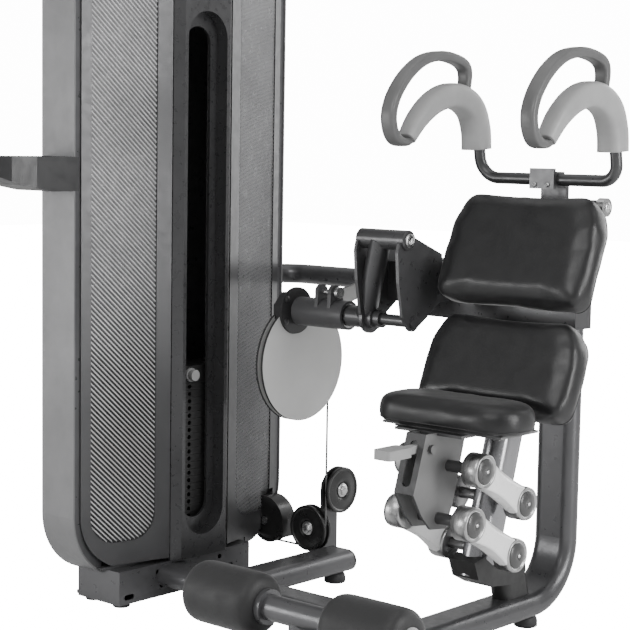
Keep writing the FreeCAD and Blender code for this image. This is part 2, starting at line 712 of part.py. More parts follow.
def adjuster_bracket():
    """Rounded ears on the bearing housing with a cross pin, the stop that sets the start position."""
    ears = []
    for x in ((-478, -468), (-440, -430)):
        outline = [(AXIS_Y - 30, AXIS_Z + 8), (AXIS_Y - 26, AXIS_Z + STOP_UP),
                   (AXIS_Y + 6, AXIS_Z + STOP_UP + 4), (AXIS_Y + 26, AXIS_Z + 14)]
        root = polygon_x(outline, x)
        ear = fuse([root, cyl_x(x, STOP_Y, AXIS_Z + STOP_UP, 17)])
        ear = ear.cut(cyl_x((-500, -400), AXIS_Y, AXIS_Z, HOUSING_R))
        ears.append(ear.cut(cyl_x((-500, -400), STOP_Y, AXIS_Z + STOP_UP, STOP_R + RUN)))
    return ears


def adjuster_pin():
    pin = cyl_x((-486, -424), STOP_Y, AXIS_Z + STOP_UP, STOP_R)
    head = cyl_x((-424, -416), STOP_Y, AXIS_Z + STOP_UP, 13)
    return fuse([pin, head])


def main_shaft():
    body = cyl_x((-595, -300), AXIS_Y, AXIS_Z, SHAFT_R)
    nose = cyl_x((-300, ARM_RIGHT[1] + 5), AXIS_Y, AXIS_Z, NOSE_R)
    return fuse([body, nose])


def crank_tube():
    low = V(-350, AXIS_Y, AXIS_Z)
    high = V(-289, HEAD_Y, HEAD_Z)
    bar = Part.makeCylinder(CRANK_R, (high - low).Length, low, high - low)
    bar = bar.cut(cyl_x((-400, -200), AXIS_Y, AXIS_Z, SHAFT_R))
    return bar.cut(cyl_x((-400, -200), HEAD_Y, HEAD_Z, HEAD_R))


def shaft_sleeve():
    """Thick tube at the foot of the crank that clamps the main shaft."""
    return cyl_x((BEARING_X[1] + 4, -318), AXIS_Y, AXIS_Z, SLEEVE_R).cut(main_shaft())


def head_tube():
    body = cyl_x((ARM_LEFT[0] - 4, ARM_RIGHT[1] + 8), HEAD_Y, HEAD_Z, HEAD_R)
    return body.makeChamfer(3, [e for e in body.Edges if isinstance(e.Curve, Part.Circle)])


GUSSET = [(-317, 815), (-312, 836), (-290, 851), (-266, 850), (-160, 808), (-159, 705), (-212, 669),
          (-250, 646), (-274, 648), (-297, 676), (-311, 750)]


def gusset(x, lobe_r, bore_r):
    """Side plate of the arm: from the head tube down to a lobe on the crunch axis and back to the box arm."""
    plate = fuse([polygon_x(GUSSET, x), cyl_x(x, AXIS_Y, AXIS_Z, lobe_r)])
    span = (x[0] - 1, x[1] + 1)
    return plate.cut(cyl_x(span, AXIS_Y, AXIS_Z, bore_r)).cut(cyl_x(span, HEAD_Y, HEAD_Z, HEAD_R))


def gusset_left():
    return gusset(ARM_LEFT, SLEEVE_R + 10, SLEEVE_R).cut(crank_tube())


def gusset_right():
    return gusset(ARM_RIGHT, NOSE_R + 8, NOSE_R)


def side_box():
    """Box that ties the two side plates together behind the crank."""
    x = (ARM_LEFT[1], ARM_RIGHT[0])
    outer = box(x, (-205, ARM_BOX_Y[0]), (700, 788))
    return outer.cut(box((x[0] + 5, x[1] - 5), (-200, ARM_BOX_Y[0] + 5), (705, 783)))


def arm_beam():
    """Box beam behind the upper pad, from the side plates to past the seat's centre line."""
    outer = box((ARM_LEFT[1], 96), ARM_BOX_Y, ARM_BOX_Z)
    inner = box((ARM_LEFT[1] + 4, 92), (ARM_BOX_Y[0] + 4, ARM_BOX_Y[1] - 4),
                (ARM_BOX_Z[0] + 4, ARM_BOX_Z[1] - 4))
    return outer.cut(inner)


POST_HALF = 32.0
POST_Y = (-72.0, -38.0)
POST_TOP = 880.0
RISER_Y = (-54.0, -41.0)


def harness_post():
    """Upright behind the upper pad that carries the pad's hinge and the harness."""
    post = box((-POST_HALF, POST_HALF), POST_Y, (ARM_BOX_Z[1], POST_TOP))
    riser = box((-POST_HALF, POST_HALF), RISER_Y, (POST_TOP, U_Z))
    return fuse([post, riser])


def hinge_brackets():
    """Bent plates that hold the two ends of the pad's hinge shaft."""
    y, z = PAD_HINGE
    parts = [box((-EAR_X[1], EAR_X[1]), (-46, -34), (852, 866))]
    for side in (-1, 1):
        x = sorted((side * EAR_X[0], side * EAR_X[1]))
        ear = polygon_x([(-46, 852), (-34, 852), (y + 16, z - 21), (y + 16, z + 15), (y - 16, z + 15)], x)
        parts.append(ear.cut(cyl_x((x[0] - 1, x[1] + 1), y, z, HINGE_R)))
    return fuse(parts)


def hinge_shaft():
    end = BOSS_X[1]
    shaft = cyl_x((-EAR_X[1] - 4, end), PAD_HINGE[0], PAD_HINGE[1], HINGE_R)
    boss = ring_x(BOSS_X, PAD_HINGE[0], PAD_HINGE[1], 20, HINGE_R)
    return fuse([shaft, boss]).cut(cyl_x((end - 6, end + 6), PAD_HINGE[0], PAD_HINGE[1], 5))


def hinge_spring():
    """Return spring wound on the hinge shaft: a row of turns drawn as a helix."""
    pitch = 4.6
    turns = 9
    start = 36.0
    coil_r = 12.5
    helix = Part.makeHelix(pitch, pitch * turns, coil_r)
    ring = Part.Wire([Part.Circle(V(coil_r, 0, 0), V(0, 1, 0), 1.9).toShape()])
    coil = Part.Wire(helix.Edges).makePipeShell([ring], True, True)
    coil.rotate(V(0, 0, 0), V(0, 1, 0), 90)
    coil.translate(V(start, PAD_HINGE[0], PAD_HINGE[1]))
    return coil


def harness_clamp():
    """Clamp round the U-tube: a front plate, a block behind it and a flat arm back to the riser."""
    half = 31.0
    plate = box((-half, half), (U_Y - 23, U_Y - 15), (U_Z - 20, U_Z + 24))
    block = box((-half, half), (U_Y - 15, U_Y + 19), (U_Z - 15, U_Z + 17))
    arm = box((-POST_HALF, POST_HALF), (U_Y + 19, RISER_Y[1]), (U_Z - 15, U_Z + 8))
    body = fuse([plate, block, arm])
    return body.cut(cyl_x((-60, 60), U_Y, U_Z, U_R))


def u_tube():
    points = [V(-U_HALF, U_Y - 12, ARCH_BASE_Z), V(-U_HALF, U_Y, U_Z), V(U_HALF, U_Y, U_Z),
              V(U_HALF, U_Y - 12, ARCH_BASE_Z)]
    return pipe(points, [46, 36], U_R, 10)


def arch(side):
    """Moulded shoulder arch: a thick round arch from its square rear end over the shoulder to its tip."""
    x = side * U_HALF
    rear = V(x, -100, ARCH_BASE_Z)
    points = [rear, V(x, -104, 1152), V(x, -276, 1168), V(x, -330, 1076)]
    return pipe(points, [70, 52], 27)


def loop_handle(side):
    """Flattened hand loop above the arch: from the tip up, over and back down on the arch."""
    x = side * U_HALF
    points = [V(x, -352, 1056), V(x, -412, 1056), V(x, -432, 1110), V(x, -268, 1244), V(x, -136, 1236),
              V(x, -150, 1164)]
    path = rounded_path(points, [26, 40, 60, 34])
    section = oval_face(V(x, -352, 1056), V(1, 0, 0), V(0, 0, 1), 34, 22).OuterWire
    bar = path.makePipeShell([section], True, False)
    return bar.cut(arch(side))

# ---------------------------------------------------------------- pads

def pad_solid(front, halves, round_back):
    """Back pad: a leaning cushion, narrower at its top, with its back edge at the top well rounded."""
    low = V(0, *front[0])
    high = V(0, *front[1])
    length = (high - low).Length
    up = (high - low).normalize()
    back = V(0, up.z, -up.y)
    corners = [low, high, high + back * (PAD_T - round_back), high + back * PAD_T - up * round_back,
               low + back * PAD_T]
    side = polygon_x([(c.y, c.z) for c in corners], (-230, 230))
    across = V(1, 0, 0)
    lower, upper = halves
    start = low - back * 20
    outline = [start - across * lower, start + across * lower,
               start + across * (lower + 3) + up * length * 0.45,
               start + across * lower + up * length * 0.72, start + across * upper + up * (length + 1)]
    mirrored = [V(-p.x, p.y, p.z) for p in reversed(outline[2:])]
    wire = Part.makePolygon(outline + mirrored + outline[:1])
    front_view = Part.Face(wire).extrude(back * (PAD_T + 60))
    high_corners = edges_along(front_view, back, lambda c: (c - low).dot(up) > length - 5)
    front_view = front_view.makeFillet(40, high_corners)
    low_corners = edges_along(front_view, back, lambda c: (c - low).dot(up) < 5)
    front_view = front_view.makeFillet(26, low_corners)
    return side.common(front_view)


def rounded_pad(front, halves):
    pad = pad_solid(front, halves, 30.0)
    up = V(0, front[1][0] - front[0][0], front[1][1] - front[0][1]).normalize()
    forward = V(0, -up.z, up.y)
    face_point = V(0, front[0][0], front[0][1])

    def on_front(edge):
        return abs((edge.CenterOfMass - face_point).dot(forward)) < 0.5

    return pad.makeFillet(18, [e for e in pad.Edges if on_front(e)])


def upper_pad():
    return rounded_pad(UPPER_FRONT, UPPER_HALVES)


def lower_pad():
    return rounded_pad(LOWER_FRONT, LOWER_HALVES)


def backing_plate(front, inset_low, inset_high, x):
    """Steel plate that closes a pad's back."""
    up = V(0, front[1][0] - front[0][0], front[1][1] - front[0][1]).normalize()
    back = V(0, up.z, -up.y)
    length = (V(0, *front[1]) - V(0, *front[0])).Length
    low = V(0, *front[0]) + back * PAD_T + up * inset_low
    high = V(0, *front[0]) + back * PAD_T + up * (length - inset_high)
    points = [low, high, high + back * 5, low + back * 5]
    return polygon_x([(c.y, c.z) for c in points], x)


def upper_plate():
    plate = backing_plate(UPPER_FRONT, 20, 44, (-140, 140))
    y, z = PAD_HINGE
    arms = []
    for side in (-1, 1):
        x = sorted((side * KNUCKLE_X[0], side * KNUCKLE_X[1]))
        knuckle = cyl_x(x, y, z, 15)
        strap = polygon_x([(-112, 846), (-95, 888), (y - 8, z + 13), (y + 8, z - 12), (-88, 848)], x)
        arms.append(fuse([knuckle, strap]))
    body = fuse([plate] + arms).cut(upper_pad())
    return body.cut(cyl_x((-200, 200), y, z, HINGE_R + RUN))


def lower_plate():
    return backing_plate(LOWER_FRONT, 20, 44, (-150, 150))


def lower_bracket():
    """Bent bracket from the lower pad's plate back to the flat front of the seat column."""
    half = TUBE_SHORT / 2
    wall = 6.0
    end = -TUBE_SHORT / 2
    block = polygon_x([(-200, 534), (-150, 632), (end, 632), (end, 566), (-110, 534)], (-half, half))
    inner = polygon_x([(-240, 541), (-180, 640), (end + 1, 640), (end + 1, 541)], (wall - half, half - wall))
    return block.cut(inner).cut(lower_plate()).cut(pad_solid(LOWER_FRONT, LOWER_HALVES, 30))


# ---------------------------------------------------------------- seat

def mast_bar(shrink):
    """The links' leaning flat-oval post, drawn in by shrink."""
    lean = V(0, UPPER_BASE[0] - LOWER_BASE[0], UPPER_BASE[1] - LOWER_BASE[1]).normalize()
    across = V(0, lean.z, -lean.y)
    foot_point = V(0, *LOWER_BASE) + across * 20 - lean * 62
    return oval_bar(foot_point, lean * MAST_LENGTH, across, 90 - 2 * shrink, 60 - 2 * shrink)


def mast():
    """Leaning post, a tube bored for the links' fixed pivots."""
    body = mast_bar(0).cut(mast_bar(TUBE_WALL))
    for y, z in (UPPER_BASE, LOWER_BASE):
        body = body.cut(cyl_x((-100, 100), y, z, PIN_R))
    return body


def mast_socket():
    """Casting that ties the mast's foot to the stub post on the floor tube."""
    outline = [(-356, 190), (-340, 150), (-296, 128), (-215, 118), (-166, 140), (-174, 174), (-230, 184),
               (-282, 168), (-322, 196)]
    body = polygon_x(outline, (-34, 34))
    return body.cut(mast_bar(0))


def stub_post():
    """Short leaning post between the floor tube and the socket."""
    low = V(0, -168, TUBE_Z + 10)
    high = V(0, -196, 156)
    way = high - low
    across = V(0, way.z, -way.y).normalize()
    body = oval_bar(low, way, across, 96, 50)
    return body.cut(column_solid(0)).cut(mast_socket())


def pivot_pin(at):
    return cyl_x((-LINK_OUT + 6, LINK_OUT - 6), at[0], at[1], PIN_R)


def base_pins():
    return [pivot_pin(UPPER_BASE), pivot_pin(LOWER_BASE)]


def seat_pins():
    return [pivot_pin(UPPER_SEAT), pivot_pin(LOWER_SEAT)]


def link(base, seat, side, seat_clearance):
    """Cast link: two round bosses, a waisted web and a counterbore for each pivot cap."""
    x = sorted((side * LINK_IN, side * LINK_OUT))
    web_x = sorted((side * (LINK_IN + 6), side * (LINK_OUT - 4)))
    way = V(0, seat[0] - base[0], seat[1] - base[1])
    unit = V(way).normalize()
    normal = V(0, -unit.z, unit.y)
    a = V(0, *base)
    b = V(0, *seat)
    middle = a + way * 0.5
    outline = [a + normal * 30, middle + normal * 20, b + normal * 30, b - normal * 30, middle - normal * 24,
               a - normal * 30]
    web = polygon_x([(p.y, p.z) for p in outline], web_x)
    body = fuse([cyl_x(x, base[0], base[1], LINK_BOSS_R), cyl_x(x, seat[0], seat[1], LINK_BOSS_R), web])
    for at, clearance in ((base, RUN), (seat, seat_clearance)):
        body = body.cut(cyl_x((x[0] - 1, x[1] + 1), at[0], at[1], PIN_R + clearance))
        recess = sorted((side * (LINK_OUT - 5), side * (LINK_OUT + 1)))
        body = body.cut(cyl_x(recess, at[0], at[1], 24))
    return body


def link_caps(base, seat):
    """Domed caps that close the four bores of one pair of links."""
    caps = []
    for side in (-1, 1):
        for at in (base, seat):
            x = sorted((side * (LINK_OUT - 5), side * (LINK_OUT - 1)))
            disc = cyl_x(x, at[0], at[1], 23.9)
            dome = Part.makeSphere(70, V(side * (LINK_OUT + 3 - 70), at[0], at[1]))
            reach = sorted((side * (LINK_OUT - 1), side * (LINK_OUT + 4)))
            caps.append(fuse([disc, cyl_x(reach, at[0], at[1], 23.9).common(dome)]))
    return caps


CARRIAGE_TOP = SEAT_Z[0] - PAN_T
CARRIAGE_SIDE = [(-498, CARRIAGE_TOP), (-536, 354), (-508, 308), (-478, 276), (-426, 270), (-404, 320),
                 (-362, CARRIAGE_TOP)]


def carriage():
    """Leaning plate box under the seat, bored for the two pivot pins, with a slot in its front plate."""
    sides = [polygon_x(CARRIAGE_SIDE, (CARRIAGE_X[0], CARRIAGE_X[0] + 6)),
             polygon_x(CARRIAGE_SIDE, (CARRIAGE_X[1] - 6, CARRIAGE_X[1]))]
    front = polygon_x([(-498, CARRIAGE_TOP), (-536, 354), (-530, 354), (-492, CARRIAGE_TOP)],
                      (CARRIAGE_X[0] + 6, CARRIAGE_X[1] - 6))
    middle = (CARRIAGE_X[0] + CARRIAGE_X[1]) / 2
    slot = box((middle - 11, middle + 11), (-560, -480), (368, 458))
    slot = slot.makeFillet(10.5, edges_along(slot, V(0, 1, 0)))
    top = box((CARRIAGE_X[0] - 60, CARRIAGE_X[1] + 60), (-462, -330), (CARRIAGE_TOP - 6, CARRIAGE_TOP))
    body = fuse(sides + [front.cut(slot), top])
    for y, z in (UPPER_SEAT, LOWER_SEAT):
        body = body.cut(cyl_x((-100, 100), y, z, PIN_R))
    return body.cut(cyl_x((CARRIAGE_X[0] - 5, CARRIAGE_X[1] + 5), LEVER[0], LEVER[1], LEVER_R))


def lever_pin():
    pin = cyl_x((CARRIAGE_X[0] - 3, CARRIAGE_X[1] + 3), LEVER[0], LEVER[1], LEVER_R)
    head = cyl_x((CARRIAGE_X[1] + 3, CARRIAGE_X[1] + 9), LEVER[0], LEVER[1], 9)
    return fuse([pin, head])


def seat_lever():
    """Height lever: a hub on its pin, an arm through the slot and a flat paddle."""
    middle = (CARRIAGE_X[0] + CARRIAGE_X[1]) / 2
    hub = cyl_x((middle - 16, middle + 16), LEVER[0], LEVER[1], 11)
    arm = box((middle - 8, middle + 8), (-545, LEVER[0]), (LEVER[1] - 8, LEVER[1] + 8))
    paddle = box((middle - 22, middle + 22), (-610, -536), (LEVER[1] - 10, LEVER[1] + 10))
    paddle = paddle.makeFillet(8, edges_along(paddle, V(0, 0, 1)))
    body = fuse([hub, arm, paddle])
    return body.cut(cyl_x((middle - 60, middle + 60), LEVER[0], LEVER[1], LEVER_R + RUN))


def seat_pan():
    return box((-150, 150), (-440, -310), (CARRIAGE_TOP, SEAT_Z[0]))


def seat_screws():
    screws = []
    for x in (-125, 125):
        for y in (-418, -345):
            screws.append(cyl_z((CARRIAGE_TOP - 6, CARRIAGE_TOP), x, y, 8))
    return screws


def seat_cushion():
    """Seat pad: wide and shallow with large plan corners and a rolled front edge."""
    block = box((-SEAT_HALF, SEAT_HALF), SEAT_Y, SEAT_Z)
    block = block.makeFillet(SEAT_CORNER, edges_along(block, V(0, 0, 1)))
    top_edges = [e for e in block.Edges if abs(e.CenterOfMass.z - SEAT_Z[1]) < 0.5 and
                 all(abs(v.Point.z - SEAT_Z[1]) < 0.5 for v in e.Vertexes)]
    return block.makeFillet(24, top_edges)

# ---------------------------------------------------------------- foot rollers

def roller_post():
    post = cyl_z((TUBE_Z, ROLLER_Z), 0, ROLLER_Y, 20)
    post = post.cut(cyl_x((-60, 60), ROLLER_Y, ROLLER_Z, ROLLER_TUBE_R))
    return post.cut(column_solid(0))


def roller_tube():
    return ring_x((11 - ROLLER_OUT, ROLLER_OUT - 11), ROLLER_Y, ROLLER_Z, ROLLER_TUBE_R, ROLLER_TUBE_R - 3)


def roller_collars():
    middle = ROLLER_IN - 7
    return [ring_x((side * middle - 6, side * middle + 6), ROLLER_Y, ROLLER_Z, 34, ROLLER_TUBE_R)
            for side in (-1, 1)]


def foam_roller(side):
    x = sorted((side * ROLLER_IN, side * ROLLER_OUT))
    body = cyl_x(x, ROLLER_Y, ROLLER_Z, ROLLER_R)
    body = body.makeFillet(18, [e for e in body.Edges if isinstance(e.Curve, Part.Circle)])
    bore = sorted((side * (ROLLER_IN - 7), side * (ROLLER_OUT - 9)))
    return body.cut(cyl_x(bore, ROLLER_Y, ROLLER_Z, ROLLER_TUBE_R + RUN))

# ---------------------------------------------------------------- output

def both(maker):
    return [maker(-1), maker(1)]


def tower_inner_frame():
    rim = rim_frame((SHELL_FRONT - 6, SHELL_FRONT - 3))
    return tower_uprights() + [top_beam(), rod_beam(), stack_floor(), rim]


def arm_box():
    return fuse([side_box(), arm_beam()])


def links(base, seat, seat_clearance):
    pair = [link(base, seat, side, seat_clearance) for side in (-1, 1)]
    return pair + link_caps(base, seat)


def seat_base():
    return [fuse([carriage(), seat_pan()])] + seat_pins() + seat_screws() + [lever_pin()]


def pulley_brackets():
    return [pulley_post()] + top_pulley_brackets()


def harness_upright():
    return fuse([harness_post(), hinge_brackets(), harness_clamp()])


NODES = {
    "seat_column": seat_column,
    "cross_beam": cross_beam,
    "stabiliser_beam": stabiliser_beam,
    "tube_caps": tube_caps,
    "rubber_feet": lambda: column_feet() + tower_feet(),
    "tower_base_beam": lambda: fuse([tower_base_beam()] + floor_anchor_tabs()),
    "bridge_tube": bridge_tube,
    "tower_shell": tower_shell,
    "front_panels": lambda: both(front_panel),
    "mesh_panels": lambda: both(mesh_panel),
    "tower_spine": spine,
    "tower_back_panel": back_panel,
    "tower_inner_frame": tower_inner_frame,
    "guide_rods": guide_rods,
    "stack_bumpers": stack_bumpers,
    "weight_plates": weight_plates,
    "head_plate": lambda: [head_plate()] + slide_bushes(),
    "selector_rod": selector_rod,
    "selector_pin": selector_pin,
    "side_tray": side_tray,
    "pulley_cover": pulley_cover,
    "deflector_pulley": lambda: grooved_pulley(P1, V(1, 0, 0)),
    "turn_pulley_front": lambda: grooved_pulley(P2, V(0, 1, 0)),
    "turn_pulley_tower": lambda: grooved_pulley(P3, V(0, 1, 0)),
    "top_pulley_side": lambda: grooved_pulley(P4, V(1, 0, 0)),
    "top_pulley_stack": lambda: grooved_pulley(P5, V(1, 0, 0)),
    "pulley_axles": pulley_axles,
    "pulley_brackets": pulley_brackets,
    "drive_cable": drive_cable,
    "drive_cam": lambda: [cam()] + cam_bolts(),
    "bearing_housing": lambda: fuse([bearing_housing()] + adjuster_bracket()),
    "bearing_bushes": bearing_bushes,
    "adjuster_pin": adjuster_pin,
    "main_shaft": main_shaft,
    "crank_arm": lambda: fuse([crank_tube(), shaft_sleeve(), head_tube()]),
    "side_plates": lambda: [gusset_left(), gusset_right()],
    "arm_beam": arm_box,
    "harness_post": harness_upright,
    "harness_tube": u_tube,
    "left_shoulder_arch": lambda: arch(-1).cut(u_tube()),
    "right_shoulder_arch": lambda: arch(1).cut(u_tube()),
    "left_loop_handle": lambda: loop_handle(-1),
    "right_loop_handle": lambda: loop_handle(1),
    "pad_hinge_shaft": hinge_shaft,
    "return_spring": hinge_spring,
    "upper_back_pad": upper_pad,
    "upper_pad_plate": upper_plate,
    "lower_back_pad": lower_pad,
    "lower_pad_bracket": lambda: fuse([lower_plate(), lower_bracket()]),
    "mast_socket": lambda: fuse([stub_post(), mast_socket()]),
    "seat_mast": mast,
    "base_pivot_pins": base_pins,
    "lower_links": lambda: links(LOWER_BASE, LOWER_SEAT, RUN),
    "upper_links": lambda: links(UPPER_BASE, UPPER_SEAT, OPEN_PIVOT),
    "seat_carriage": seat_base,
    "seat_cushion": seat_cushion,
    "seat_lever": seat_lever,
    "roller_post": lambda: [roller_post(), roller_tube()] + roller_collars(),
    "left_foot_roller": lambda: foam_roller(-1),
    "right_foot_roller": lambda: foam_roller(1),
}


def main():
    os.makedirs("parts", exist_ok=True)
    for name, maker in NODES.items():
        made = maker()
        shape = Part.makeCompound(made) if isinstance(made, list) else made
        shape.translate(SHIFT)
        assert shape.isValid(), name
        shape.exportStep("parts/" + name + ".step")


main()
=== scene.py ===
import json
import math

import bmesh
import bpy
from mathutils import Matrix, Vector


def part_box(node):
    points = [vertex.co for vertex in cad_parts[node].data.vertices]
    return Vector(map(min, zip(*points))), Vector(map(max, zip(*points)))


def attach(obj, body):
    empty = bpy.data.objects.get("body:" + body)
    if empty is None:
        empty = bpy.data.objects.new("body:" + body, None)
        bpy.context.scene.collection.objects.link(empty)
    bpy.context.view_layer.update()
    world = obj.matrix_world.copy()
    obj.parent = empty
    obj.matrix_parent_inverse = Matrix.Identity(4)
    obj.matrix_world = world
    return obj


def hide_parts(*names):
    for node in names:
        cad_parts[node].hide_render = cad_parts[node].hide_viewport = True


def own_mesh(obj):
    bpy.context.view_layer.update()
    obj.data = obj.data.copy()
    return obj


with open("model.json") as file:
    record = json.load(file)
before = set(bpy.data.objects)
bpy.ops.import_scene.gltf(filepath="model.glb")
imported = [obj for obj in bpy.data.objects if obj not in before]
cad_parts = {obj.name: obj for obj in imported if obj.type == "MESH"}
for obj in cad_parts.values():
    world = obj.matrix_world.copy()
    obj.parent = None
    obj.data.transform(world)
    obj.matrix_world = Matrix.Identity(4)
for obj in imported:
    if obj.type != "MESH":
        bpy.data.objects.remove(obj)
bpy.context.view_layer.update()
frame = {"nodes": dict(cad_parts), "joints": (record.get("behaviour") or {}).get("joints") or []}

NODES = frame["nodes"]
JOINTS = {joint["name"]: joint for joint in frame["joints"]}
MM = 0.001
UP = Vector((0, 0, 1))
SIDE = Vector((1, 0, 0))
DEEP = Vector((0, 1, 0))

# ---------------------------------------------------------------- camera

CAMERA_AT = Vector((2.3686, -2.6685, 1.045))
CAMERA_AZIMUTH = math.radians(41.308)
CAMERA_TILT = math.radians(5.796)
CAMERA_ROLL = math.radians(0.935)
CAMERA_LENS = 96.08


def add_camera():
    """Level view direction from azimuth and downward tilt, then a small roll about it."""
    sa, ca = math.sin(CAMERA_AZIMUTH), math.cos(CAMERA_AZIMUTH)
    se, ce = math.sin(CAMERA_TILT), math.cos(CAMERA_TILT)
    back = Vector((sa * ce, -ca * ce, se))
    level = Vector((ca, sa, 0))
    above = back.cross(level)
    right = level * math.cos(CAMERA_ROLL) + above * math.sin(CAMERA_ROLL)
    up = above * math.cos(CAMERA_ROLL) - level * math.sin(CAMERA_ROLL)
    data = bpy.data.cameras.new("camera")
    data.lens = CAMERA_LENS
    data.sensor_width = 36
    data.clip_end = 60
    camera = bpy.data.objects.new("camera", data)
    turn = Matrix((right, up, back)).transposed().to_4x4()
    camera.matrix_world = Matrix.Translation(CAMERA_AT) @ turn
    bpy.context.scene.collection.objects.link(camera)
    bpy.context.scene.camera = camera


# ---------------------------------------------------------------- materials

def new_material(name, color, rough, metal=0.0):
    made = bpy.data.materials.new(name)
    made.use_nodes = True
    shader = made.node_tree.nodes["Principled BSDF"]
    shader.inputs["Base Color"].default_value = (*color, 1)
    shader.inputs["Roughness"].default_value = rough
    shader.inputs["Metallic"].default_value = metal
    return made, made.node_tree, shader


def place(tree, kind, **settings):
    node = tree.nodes.new(kind)
    for key, value in settings.items():
        if key in node.inputs:
            node.inputs[key].default_value = value
        else:
            setattr(node, key, value)
    return node


def noise(tree, scale, detail=3.0, stretch=None):
    """Noise in the piece's own space; stretch squeezes it along the axes for brushed or drawn looks."""
    where = place(tree, "ShaderNodeTexCoord")
    texture = place(tree, "ShaderNodeTexNoise", Scale=scale, Detail=detail)
    source = where.outputs["Object"]
    if stretch:
        mapping = place(tree, "ShaderNodeMapping", Scale=stretch)
        tree.links.new(source, mapping.inputs["Vector"])
        source = mapping.outputs["Vector"]
    tree.links.new(source, texture.inputs["Vector"])
    return texture.outputs["Fac"]


def ramp(tree, source, low, high, start=0.3, end=0.7):
    node = place(tree, "ShaderNodeValToRGB")
    node.color_ramp.elements[0].position = start
    node.color_ramp.elements[1].position = end
    node.color_ramp.elements[0].color = (*low, 1) if isinstance(low, tuple) else (low, low, low, 1)
    node.color_ramp.elements[1].color = (*high, 1) if isinstance(high, tuple) else (high, high, high, 1)
    tree.links.new(source, node.inputs["Fac"])
    return node.outputs["Color"]


def add_bump(tree, shader, height, strength, distance):
    bump = place(tree, "ShaderNodeBump", Strength=strength, Distance=distance)
    tree.links.new(height, bump.inputs["Height"])
    tree.links.new(bump.outputs["Normal"], shader.inputs["Normal"])
    return bump


def tint(color, factor):
    return tuple(min(1.0, channel * factor) for channel in color)


def painted(name, color, rough=0.38, metal=0.55, wear=0.25):
    """Powder-coated steel: orange peel, slight cloudiness and paler worn edges."""
    made, tree, shader = new_material(name, color, rough, metal)
    shader.inputs["Coat Weight"].default_value = 0.25
    shader.inputs["Coat Roughness"].default_value = 0.25
    cloud = ramp(tree, noise(tree, 9, 4), tint(color, 0.9), tint(color, 1.1))
    if wear:
        edges = place(tree, "ShaderNodeNewGeometry")
        worn = ramp(tree, edges.outputs["Pointiness"], 0.0, wear, 0.52, 0.62)
        mix = place(tree, "ShaderNodeMixRGB", Color2=(*tint(color, 2.4), 1))
        tree.links.new(worn, mix.inputs["Fac"])
        tree.links.new(cloud, mix.inputs["Color1"])
        cloud = mix.outputs["Color"]
    tree.links.new(cloud, shader.inputs["Base Color"])
    tree.links.new(ramp(tree, noise(tree, 60, 5), rough - 0.06, rough + 0.08), shader.inputs["Roughness"])
    add_bump(tree, shader, noise(tree, 900, 2), 0.12, 0.0004)
    return made


SQUARE_TO_X = 0.9             # least x part of the normal on a face that counts as square to x and takes the painted light


def lit_face_paint(name, lit_pale, dark, hub_radius):
    """Paint with painted light: a lighter tone on faces square to x, beyond hub_radius of the crunch axis,
    where the side light falls, and dark elsewhere.
    """
    made, tree, shader = new_material(name, lit_pale, 0.42, 0.2)
    where = place(tree, "ShaderNodeTexCoord")
    facing = place(tree, "ShaderNodeSeparateXYZ")
    tree.links.new(where.outputs["Normal"], facing.inputs["Vector"])
    side_on = place(tree, "ShaderNodeMath", operation="ABSOLUTE")
    tree.links.new(facing.outputs["X"], side_on.inputs[0])
    axis = JOINTS["crunch"]["pos_m"]
    spot = place(tree, "ShaderNodeSeparateXYZ")
    tree.links.new(where.outputs["Object"], spot.inputs["Vector"])
    flat = place(tree, "ShaderNodeCombineXYZ")
    tree.links.new(spot.outputs["Y"], flat.inputs["Y"])
    tree.links.new(spot.outputs["Z"], flat.inputs["Z"])
    reach = place(tree, "ShaderNodeVectorMath", operation="DISTANCE")
    tree.links.new(flat.outputs["Vector"], reach.inputs[0])
    reach.inputs[1].default_value = (0, axis[1], axis[2])
    outside_hub = place(tree, "ShaderNodeMath", operation="GREATER_THAN")
    tree.links.new(reach.outputs["Value"], outside_hub.inputs[0])
    outside_hub.inputs[1].default_value = hub_radius
    # faces square to x beyond the hub get the lighter tone, as painted light where the side light falls
    plate = place(tree, "ShaderNodeMath", operation="GREATER_THAN")
    tree.links.new(side_on.outputs["Value"], plate.inputs[0])
    plate.inputs[1].default_value = SQUARE_TO_X
    lit_mask = place(tree, "ShaderNodeMath", operation="MULTIPLY")
    tree.links.new(plate.outputs["Value"], lit_mask.inputs[0])
    tree.links.new(outside_hub.outputs["Value"], lit_mask.inputs[1])
    mix = place(tree, "ShaderNodeMixRGB", Color1=(*dark, 1))
    tree.links.new(lit_mask.outputs["Value"], mix.inputs["Fac"])
    tree.links.new(ramp(tree, noise(tree, 9, 4), tint(lit_pale, 0.95), tint(lit_pale, 1.05)), mix.inputs["Color2"])
    tree.links.new(mix.outputs["Color"], shader.inputs["Base Color"])
    tree.links.new(ramp(tree, noise(tree, 60, 5), 0.34, 0.48), shader.inputs["Roughness"])
    add_bump(tree, shader, noise(tree, 900, 2), 0.1, 0.0004)
    return made


CAM_HUB_RADIUS = 0.055
EARS_RADIUS = 0.069           # the stop's ears on the bearing housing lie inside this


def brushed(name, color, rough=0.25, stretch=(40, 400, 400)):
    made, tree, shader = new_material(name, color, rough, 1.0)
    lines = noise(tree, 6, 4, stretch)
    tree.links.new(ramp(tree, lines, rough - 0.08, rough + 0.12), shader.inputs["Roughness"])
    tree.links.new(ramp(tree, lines, tint(color, 0.85), color), shader.inputs["Base Color"])
    add_bump(tree, shader, lines, 0.08, 0.0002)
    return made


